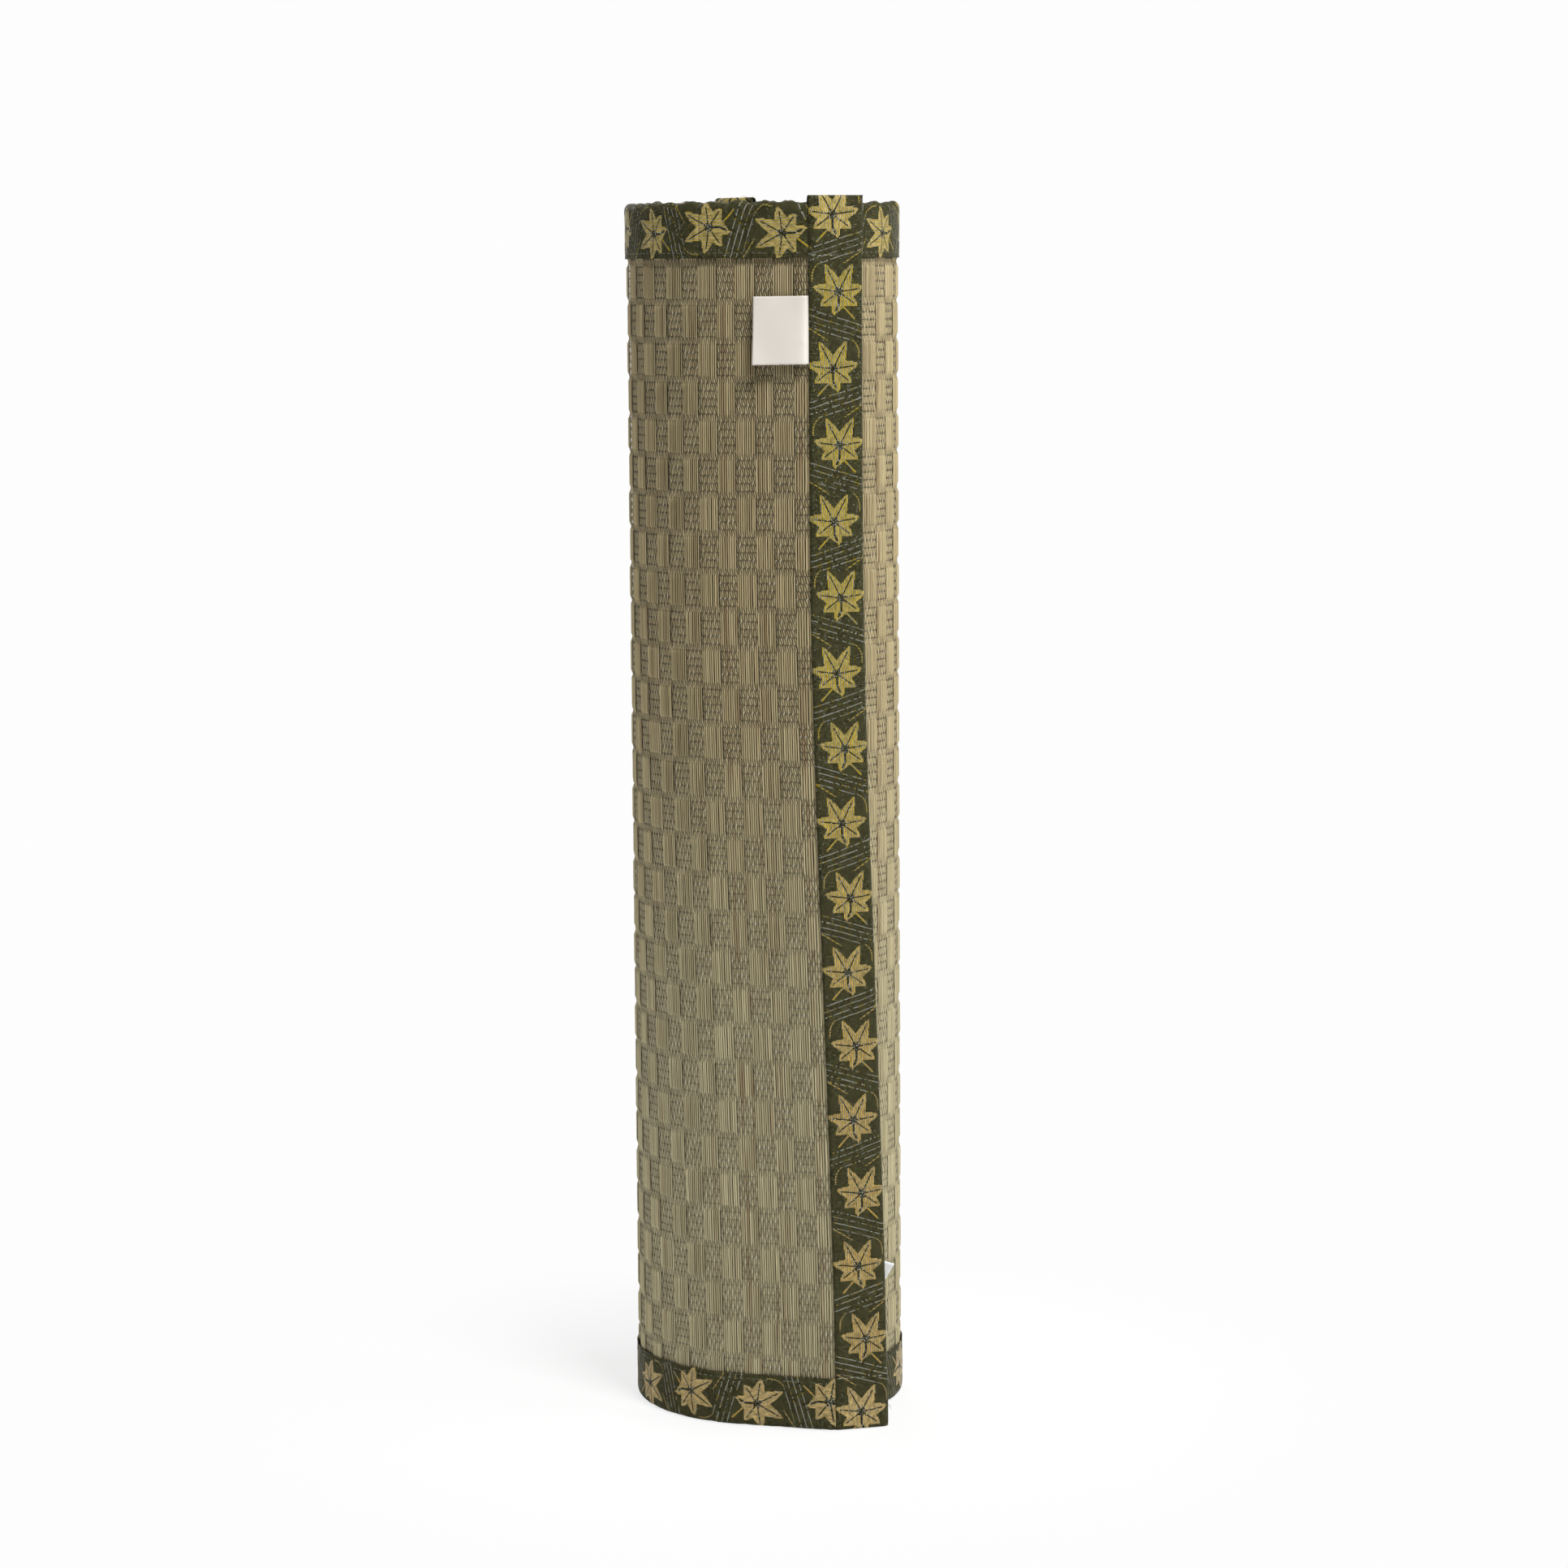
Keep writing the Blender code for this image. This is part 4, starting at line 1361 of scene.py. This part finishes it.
@dataclass
class EndBand:
    """The brocade band folded round one end of the mat, closed at its top and bottom."""

    name: str
    leaf_start: float
    free: bool
    half: float = 0.00380
    middle: float = -0.00022
    thickness: float = 0.00035
    fold: float = 0.0034

    def reach_of(self, span: Array, height: Array) -> Array:
        """Reach of a place on the band, from its distance to the band's open edge."""
        if self.free:
            return PATH.crease(height) + BAND_MARGIN + span
        return -PATH.rolled_length + BAND_WIDTH - 0.0002 - span

    def side(self, inset: float) -> tuple[Array, Array]:
        """One side of the pouch.

        Args:
            inset: how far in from the outer surface.

        Returns:
            World points and cloth coordinates.
        """
        flat = np.linspace(0, BAND_WIDTH - self.fold, 15)
        turn = np.linspace(0, math.pi, 15)[1:-1]
        span = np.concatenate([flat, BAND_WIDTH - self.fold + self.fold * np.sin(turn), flat[::-1]])
        lift = np.concatenate([np.ones(len(flat)), np.cos(turn), -np.ones(len(flat))])
        behind = BAND_WIDTH + self.fold * 2 + (BAND_WIDTH - flat[::-1])
        length = np.concatenate([flat, BAND_WIDTH - self.fold + self.fold * turn, behind])
        ends = self.fold * (1 - np.cos(np.linspace(0, math.pi / 2, 10)))
        middle = np.linspace(self.fold, BAND_TOP - self.fold, 230)[1:-1]
        heights = np.concatenate([ends, middle, BAND_TOP - ends[::-1]])
        to_end = np.minimum(heights, BAND_TOP - heights)
        square = np.where(heights < BAND_TOP / 2, 3.4, 2.3)
        close = np.clip(1 - (1 - np.clip(to_end / self.fold, 0, 1)) ** square, 0, 1) ** (1 / square)
        height, span = np.meshgrid(heights, span, indexing="ij")
        half = self.half - inset
        puff = np.broadcast_to(close[:, None] * half, height.shape)
        curve = np.broadcast_to(lift[None, :], height.shape)
        front = curve > 0
        soft = (
            np.sin(height * 97 + 0.7) * 0.00010 + np.sin(height * 211 + span * 90) * 0.00007
            + np.sin(span * math.tau / BAND_WIDTH + 0.5) * 0.00012
        )
        to_end = np.minimum(height, BAND_TOP - height)
        near_tape = smooth(0.030, 0.024, to_end)
        seam = np.exp(-(((to_end - BAND_SEAM) / 0.0010) ** 2)) * 0.00030
        sunk = (1 - near_tape) * 0.00020
        leaning = (1 - close[:, None]) * 0.0014 * (height > BAND_TOP / 2)
        offset = self.middle + leaning + curve * (puff - (soft + sunk + seam) * front * close[:, None])
        hem = np.exp(-((span / 0.0006) ** 2)) * 0.00025
        offset = offset - np.sign(curve) * hem
        level = np.clip(height, inset * 0.9, BAND_TOP - inset * 0.9)
        pulled = span - inset * smooth(BAND_WIDTH - self.fold, BAND_WIDTH, span)
        pulled = pulled + near_tape * 0.0005 * smooth(0.004, BAND_WIDTH, span)
        reach = self.reach_of(pulled, np.clip(height, 0, PATH.mat_width))
        points = PATH.place(reach, level, offset)
        across = length[None, :] - BAND_WIDTH / 2 - 0.0005 + 0.0012 * height / BAND_TOP
        return points, np.stack([height - self.leaf_start, across], axis=-1)

    def build(self) -> bpy.types.Object:
        """Makes the band."""
        outer, cloth = self.side(0.0)
        inner, _ = self.side(self.thickness)
        if not self.free:
            outer, inner, cloth = outer[:, ::-1], inner[:, ::-1], cloth[:, ::-1]
        shell = Shell()
        shell.thick(outer, inner, cloth, open_ends=(False, False))
        return shell.build(self.name)


@dataclass
class Stitching:
    """Rows of stitches along the seams."""

    recipe: Recipe
    size: tuple[float, float, float] = (0.00115, 0.00021, 0.00016)

    def row(
        self,
        name: str,
        start: tuple[float, float, float],
        end: tuple[float, float, float],
        rolled: bool,
        waver: float,
        step: float = 0.0031,
        seed: int = 3,
    ) -> bpy.types.Object:
        """Makes one row.

        Args:
            name: the piece's name.
            start: its first end as reach, height and offset.
            end: its last end.
            rolled: whether reach counts from the peel line; otherwise it counts from the
                crease, and the row leans with it.
            waver: how far a stitch strays.
            step: distance from one stitch to the next.
            seed: for the strays.

        Returns:
            The piece.
        """
        first, last = Vector(start), Vector(end)
        run = last - first
        count = max(2, round(run.length / step))
        gap = run / count
        mesh = self.recipe.run(
            Count=count, Start=tuple(first + gap / 2), Step=tuple(gap),
            Turn=math.atan2(run.y, run.x), Size=self.size, Waver=waver, Seed=seed,
        )
        reach, height, offset = read_points(mesh)
        if not rolled:
            reach = PATH.crease(height) + reach
        return place_mesh(mesh, name, PATH.place(reach, height, offset))


@dataclass
class ClothLabel:
    """The bare cotton label, caught by its hem under the edge of the outer band."""

    width: float = 0.0258
    height: float = 0.0325
    drop: float = 0.52102
    hem: float = 0.0060
    thickness: float = 0.0004

    def build(self) -> bpy.types.Object:
        """Makes the label and its hem as one cloth, a little lifted at its free side."""
        out = np.concatenate([np.linspace(-self.hem, 0, 6)[:-1], np.linspace(0, self.width, 34)])
        up = np.linspace(0, self.height, 40)
        out, up = np.meshgrid(out, up, indexing="ij")
        part = np.clip(out / self.width, 0, 1)
        rise = up / self.height
        ragged = np.sin(out * 4100) * 0.00006 + np.sin(out * 9700 + 1) * 0.00005
        height = self.drop + 0.0021 + up + np.where(up < 1e-6, ragged, 0) - 0.0003 * part
        lift = part ** 0.8 * (0.0014 + 0.0036 * (1 - rise) ** 1.1)
        level = 0.0036 + lift + 0.0004 * np.sin(part * 5.5) * np.sin(rise * 4.2 + 0.5)
        pucker = np.exp(-(((part - 0.09) / 0.05) ** 2 + ((rise - 0.33) / 0.04) ** 2)) * 0.0003
        under = 0.00255
        level = under + (level - under) * smooth(0.0001, 0.0020, out) + pucker
        reach = PATH.crease(height) + 0.0016 - out
        cloth = np.stack([out, up], axis=-1)
        front = PATH.place(reach, height, level)
        back = PATH.place(reach, height, level - self.thickness)
        shell = Shell()
        shell.thick(front, back, cloth)
        return shell.build("cloth_label")


@dataclass
class FilmScrap:
    """A corner of clear film behind the free end, near the foot."""

    side: float = 0.013
    corners: tuple[tuple[float, float], ...] = (
        (0.0002, -0.0092), (0.0103, 0.0068), (-0.0015, 0.0108), (-0.0082, 0.0010),
    )
    heading: float = math.radians(16.5)
    thickness: float = 0.0002

    def build(self) -> bpy.types.Object:
        """Makes the scrap where the CAD holds it, curled a little."""
        low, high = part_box("film_scrap")
        middle = (np.array(low) + np.array(high)) / 2
        run = np.array((math.cos(self.heading), math.sin(self.heading), 0.0))
        out = np.array((math.sin(self.heading), -math.cos(self.heading), 0.0))
        steps = np.linspace(0, 1, 14)
        p, q = np.meshgrid(steps, steps, indexing="ij")
        first, second, third, last = (np.array(corner) for corner in self.corners)
        p, q = p[..., None], q[..., None]
        spot = (first * (1 - p) + second * p) * (1 - q) + (last * (1 - p) + third * p) * q
        curl = 0.00036 * np.sin(p * self.side * 260) + 0.0022 * (p - 0.5) ** 2
        points = middle + spot[..., :1] * run + spot[..., 1:] * np.array((0, 0, 1.0)) + curl * out
        shell = Shell()
        cloth = np.concatenate([p, q], axis=-1) * self.side
        shell.thick(points, points - out * self.thickness, cloth)
        return shell.build("clear_film")


@dataclass
class FrayedThreads:
    """Loose ends of thread: where the outer band ends at the foot, and on the inner fold."""

    seed: int = 5

    def strands(
        self, name: str, roots: Array, heading: Array, count: int, length: float, spread: float
    ) -> bpy.types.Object:
        """Makes a few curved threads.

        Args:
            name: the piece's name.
            roots: two points between which the threads start.
            heading: the way they point.
            count: how many.
            length: of the longest.
            spread: how far they stray from the heading.

        Returns:
            The piece.
        """
        dice = np.random.default_rng(self.seed)
        shell = Shell()
        for _ in range(count):
            start = roots[0] + (roots[1] - roots[0]) * dice.random()
            bend = dice.normal(size=3) * spread
            way = heading + dice.normal(size=3) * spread
            size = length * (0.4 + 0.6 * dice.random())
            t = np.linspace(0, 1, 9)[:, None]
            path = start + way * size * t + bend * size * t * t
            shell.tube(path, np.linspace(0.00011, 0.00006, 9))
        return shell.build(name)


# ---------------------------------------------------------------- sub-assemblies


@dataclass
class Finishes:
    """Every material of the object, made once."""

    rush: bpy.types.Material = field(default_factory=lambda: RushFinish().material())
    rush_ground: bpy.types.Material = field(default_factory=lambda: RushFinish().ground())
    brocade: bpy.types.Material = field(default_factory=lambda: BrocadeFinish().material())
    backing: bpy.types.Material = field(default_factory=lambda: BackingFinish().material())
    thread: bpy.types.Material = field(default_factory=lambda: ThreadFinish().material())
    dark_thread: bpy.types.Material = field(
        default_factory=lambda: ThreadFinish("dark thread", "#23241a", "#45473a").material()
    )
    cross_thread: bpy.types.Material = field(
        default_factory=lambda: ThreadFinish("cross thread", "#5c5f4e", "#b0b2a0").material()
    )
    pale_thread: bpy.types.Material = field(
        default_factory=lambda: ThreadFinish("loose thread", "#b9b39a", "#ece7d4").material()
    )
    label: bpy.types.Material = field(default_factory=lambda: LabelFinish().material())
    film: bpy.types.Material = field(default_factory=lambda: FilmFinish().material())


@dataclass
class WovenSheet:
    """The rush face and its backing."""

    finishes: Finishes
    free_stems: int = 57
    outer_stems: int = 340
    pieces: int = 4

    def build(self) -> None:
        """Makes both layers in two pieces each, and the stems on the rush that shows."""
        weave = RushWeave()
        recipe = weave.recipe(self.finishes.rush)
        stems = [weave.grow(recipe, "rush_stems_free_end", -1, self.free_stems)]
        hold(stems[0], Holding.PEEL_LINE, self.finishes.rush)
        each = math.ceil(self.outer_stems / self.pieces)
        for index in range(self.pieces):
            first = -1 + self.free_stems + index * each
            run = weave.grow(recipe, f"rush_stems_roll_{index + 1}", first, each)
            hold(run, Holding.ROLL, self.finishes.rush)
            stems.append(run)
        backing = LayerSheet("backing", -0.00275, -0.00005)
        for stretch in stretches():
            part, flat = stretch.part, (PATH.mat_width, stretch.length)
            piece = backing.build(stretch)
            hold(piece, stretch.holding, self.finishes.backing, [f"{part}_backing"])
        ground = LayerSheet("rush_ground", 0.0001, 0.00085)
        for stretch in stretches():
            part, flat = stretch.part, (PATH.mat_width, stretch.length)
            piece = ground.build(stretch)
            hold(piece, stretch.holding, self.finishes.rush_ground, [f"{part}_rush_face"])


@dataclass(frozen=True)
class BandSeams:
    """Where an end band's stitches run. Pairs are for the upright row and the cross rows."""

    upright: float
    left: float
    right: float
    offsets: tuple[float, float]
    steps: tuple[float, float]
    wavers: tuple[float, float]
    threads: tuple[bpy.types.Material, bpy.types.Material]
    seed: int

    def rows(self) -> list[tuple[str, str, tuple[float, ...], tuple[float, ...]]]:
        """The three rows: each one's kind, the end of its CAD name, its start and its stop."""
        out, cross = self.offsets
        runs = [("upright", "seam", (self.upright, 0.004, out), (self.upright, 0.599, out))]
        for kind, level in (("foot", BAND_SEAM), ("head", BAND_HEAD_SEAM)):
            runs.append((kind, f"{kind}_seam", (self.left, level, cross), (self.right, level, cross)))
        return runs


@dataclass
class Bindings:
    """The edge tapes, the end bands and the rows of stitches that hold them."""

    finishes: Finishes

    def build(self) -> None:
        """Makes every binding and seam."""
        stitching = Stitching(stitch_recipe(self.finishes.thread))
        for edge, top, leaf in (("head", True, -0.02535), ("foot", False, 0.0087)):
            tape = EdgeTape(f"edge_tape_{edge}", top, leaf)
            level = PATH.mat_width - TAPE_SEAM if top else TAPE_SEAM
            for stretch in stretches():
                part = stretch.part
                piece = tape.build(stretch)
                hold(piece, stretch.holding, self.finishes.brocade, [f"{part}_{edge}_tape"])
                start, end = SPLIT, -PATH.rolled_length + BAND_WIDTH + 0.001
                if stretch.to_tip:
                    start, end = float(PATH.crease(level)) - 0.0004, SPLIT
                row = stitching.row(
                    f"{edge}_stitches_{part}", (end, level, SEAM_OFFSET), (start, level, SEAM_OFFSET),
                    rolled=True, waver=0.00008,
                )
                hold(row, stretch.holding, self.finishes.thread, [f"{part}_{edge}_seam"])
        left, end = BAND_MARGIN + 0.0006, -PATH.rolled_length
        outer = BandSeams(
            left + 0.0010, left, BAND_MARGIN + BAND_WIDTH - 0.0030, offsets=(0.00308, SEAM_OFFSET),
            steps=(0.0031, 0.0030), wavers=(0.0001, 0.00018),
            threads=(self.finishes.dark_thread, self.finishes.cross_thread), seed=8,
        )
        inner = BandSeams(
            end + BAND_WIDTH - 0.0020, end + 0.004, end + BAND_WIDTH - 0.001,
            offsets=(-0.00395, -0.00402), steps=(0.0031, 0.0031), wavers=(0.00012, 0.00012),
            threads=(self.finishes.thread, self.finishes.thread), seed=9,
        )
        self.band(stitching, EndBand("end_band_outer", 0.0091, free=True), outer)
        self.band(stitching, EndBand("end_band_inner", 0.0204, free=False), inner)

    def band(self, stitching: Stitching, band: EndBand, seams: BandSeams) -> None:
        """Makes an end band with its upright row of stitches and its two cross rows.

        Args:
            stitching: makes the rows.
            band: which band.
            seams: where the rows run.
        """
        end = "outer" if band.free else "inner"
        holding, rest = (Holding.FREE_END, "free_end") if band.free else (Holding.ROLL, "roll")
        piece = band.build()
        hold(piece, holding, self.finishes.brocade, [f"{end}_end_band"])
        for kind, node, start, stop in seams.rows():
            pick = 0 if kind == "upright" else 1
            row = stitching.row(
                f"{kind}_stitches_{end}", start, stop, rolled=not band.free, waver=seams.wavers[pick],
                step=seams.steps[pick], seed=seams.seed,
            )
            hold(row, holding, seams.threads[pick], [f"{end}_band_{node}"])


@dataclass
class Trimmings:
    """The label, the scrap of film and the frayed threads."""

    finishes: Finishes

    def build(self) -> None:
        """Makes them."""
        label = ClothLabel()
        piece = label.build()
        hold(piece, Holding.LABEL_LINE, self.finishes.label, ["label", "label_hem"])
        film = FilmScrap().build()
        hold(film, Holding.FREE_END, self.finishes.film, ["film_scrap"])
        threads = FrayedThreads()
        crease = float(PATH.crease(0.006))
        tip = crease + BAND_MARGIN + BAND_WIDTH
        corner = PATH.place([tip - 0.0015, tip], [0.012, 0.020], [0.001, -0.001])
        loose = threads.strands("frayed_corner", corner, np.array((0.9, -0.2, -0.6)), 7, 0.0032, 0.35)
        hold(loose, Holding.FREE_END, self.finishes.thread)
        end = -PATH.rolled_length + BAND_WIDTH
        tuft = PATH.place([end - 0.001, end - 0.010], [0.6025, 0.6027], [0.001, 0.001])
        loose = threads.strands("frayed_fold", tuft, np.array((0.5, -0.1, 0.5)), 9, 0.0035, 0.45)
        hold(loose, Holding.ROLL, self.finishes.pale_thread)


# ---------------------------------------------------------------- camera and studio


@dataclass(frozen=True)
class PhotoCamera:
    """The camera of the photograph, solved from the roll's outlines."""

    place: tuple[float, float, float] = (0.0732, -1.9767, 0.5697)
    down: float = math.radians(7.4174)
    turned: float = math.radians(-1.8527)
    tipped: float = math.radians(-0.3728)
    lens: float = 4903.04 / 1932 * 36

    def build(self) -> None:
        """Makes the camera and gives it to the scene."""
        level = Vector((math.cos(self.turned), -math.sin(self.turned), 0))
        away = Vector((math.sin(self.turned), math.cos(self.turned), 0))
        ahead = away * math.cos(self.down) - Vector((0, 0, math.sin(self.down)))
        above = level.cross(ahead)
        right = level * math.cos(self.tipped) + above * math.sin(self.tipped)
        up = above * math.cos(self.tipped) - level * math.sin(self.tipped)
        data = bpy.data.cameras.new("camera")
        data.sensor_width, data.lens, data.clip_end = 36, self.lens, 100
        camera = add_object("camera", data)
        turn = Matrix((right, up, -ahead)).transposed().to_4x4()
        camera.matrix_world = Matrix.Translation(self.place) @ turn
        bpy.context.scene.camera = camera


@dataclass(frozen=True)
class Studio:
    """A white floor, a white surround and soft lamps from the right."""

    surround: float = 0.14
    white: float = 0.985
    far: float = 30.0
    lamps: tuple[tuple[str, tuple[float, float, float], float, float, float], ...] = (
        ("key", (0.75, -1.15, 2.45), 0.30, 0.70, 61.0),
        ("side", (1.60, -0.10, 1.10), 0.30, 1.00, 14.0),
        ("back", (-0.60, 2.30, 1.50), 0.30, 1.40, 24.0),
        ("low", (-0.40, -0.50, 0.07), 0.03, 0.25, 0.36),
        ("left", (-1.70, 0.55, 1.10), 0.30, 1.00, 8.0),
    )

    def floor(self) -> None:
        """Makes the floor, which keeps the shadow near the object and is white further out."""
        mesh = bpy.data.meshes.new("floor")
        ways = ((-1, -1), (1, -1), (1, 1), (-1, 1))
        mesh.from_pydata([(x * self.far, y * self.far, 0) for x, y in ways], [], [(0, 1, 2, 3)])
        material, nodes = new_material("studio floor")
        x, y, _ = nodes.parts(nodes.place())
        away = (x * x + y * y).math("SQRT").smooth(0.06, 0.30)
        ray = nodes.add("ShaderNodeLightPath")
        seen = ray.most(ray.other("Is Glossy Ray")).most(ray.other("Is Transmission Ray"))
        plain = nodes.add("ShaderNodeBsdfDiffuse", {}, {"Color": (0.93, 0.93, 0.93, 1)})
        white = nodes.add("ShaderNodeEmission", {}, {"Color": (1, 1, 1, 1), "Strength": self.white})
        share = seen * (0.76 + away * 0.24)
        both = nodes.add("ShaderNodeMixShader", {}, {0: share, 1: plain, 2: white})
        nodes.add("ShaderNodeOutputMaterial", {}, {"Surface": both})
        mesh.materials.append(material)
        add_object("floor", mesh)

    @staticmethod
    def lamp(
        name: str, place: tuple[float, float, float], aim: float, size: float, watts: float
    ) -> None:
        """Makes a soft square lamp that looks at this height on the roll."""
        data = bpy.data.lights.new(name, "AREA")
        data.size, data.energy = size, watts
        lamp = add_object(name, data)
        lamp.location = place
        lamp.rotation_euler = (Vector((0, 0, aim)) - Vector(place)).to_track_quat("-Z", "Y").to_euler()
        lamp.visible_camera = False

    def world(self) -> None:
        """Makes the surround: soft light, and white where it is seen."""
        world = bpy.data.worlds.new("surround")
        world.use_nodes = True
        world.node_tree.nodes.clear()
        nodes = Nodes(world.node_tree)
        ray = nodes.add("ShaderNodeLightPath")
        seen = ray.most(ray.other("Is Transmission Ray"))
        strength = seen * (self.white - self.surround) + self.surround
        light = nodes.add("ShaderNodeBackground", {}, {"Color": (1, 1, 1, 1), "Strength": strength})
        nodes.add("ShaderNodeOutputWorld", {}, {"Surface": light})
        bpy.context.scene.world = world

    def build(self) -> None:
        """Makes the whole studio."""
        self.floor()
        self.world()
        for name, place, aim, size, watts in self.lamps:
            self.lamp(name, place, aim, size, watts)
        bpy.context.scene.view_settings.view_transform = "Standard"


def main() -> None:
    """Builds the studio and every sub-assembly in order."""
    logging.basicConfig(level=logging.INFO, format="%(name)s: %(message)s")
    PhotoCamera().build()
    Studio().build()
    finishes = Finishes()
    WovenSheet(finishes).build()
    Bindings(finishes).build()
    Trimmings(finishes).build()


if __name__ == "__main__":
    main()
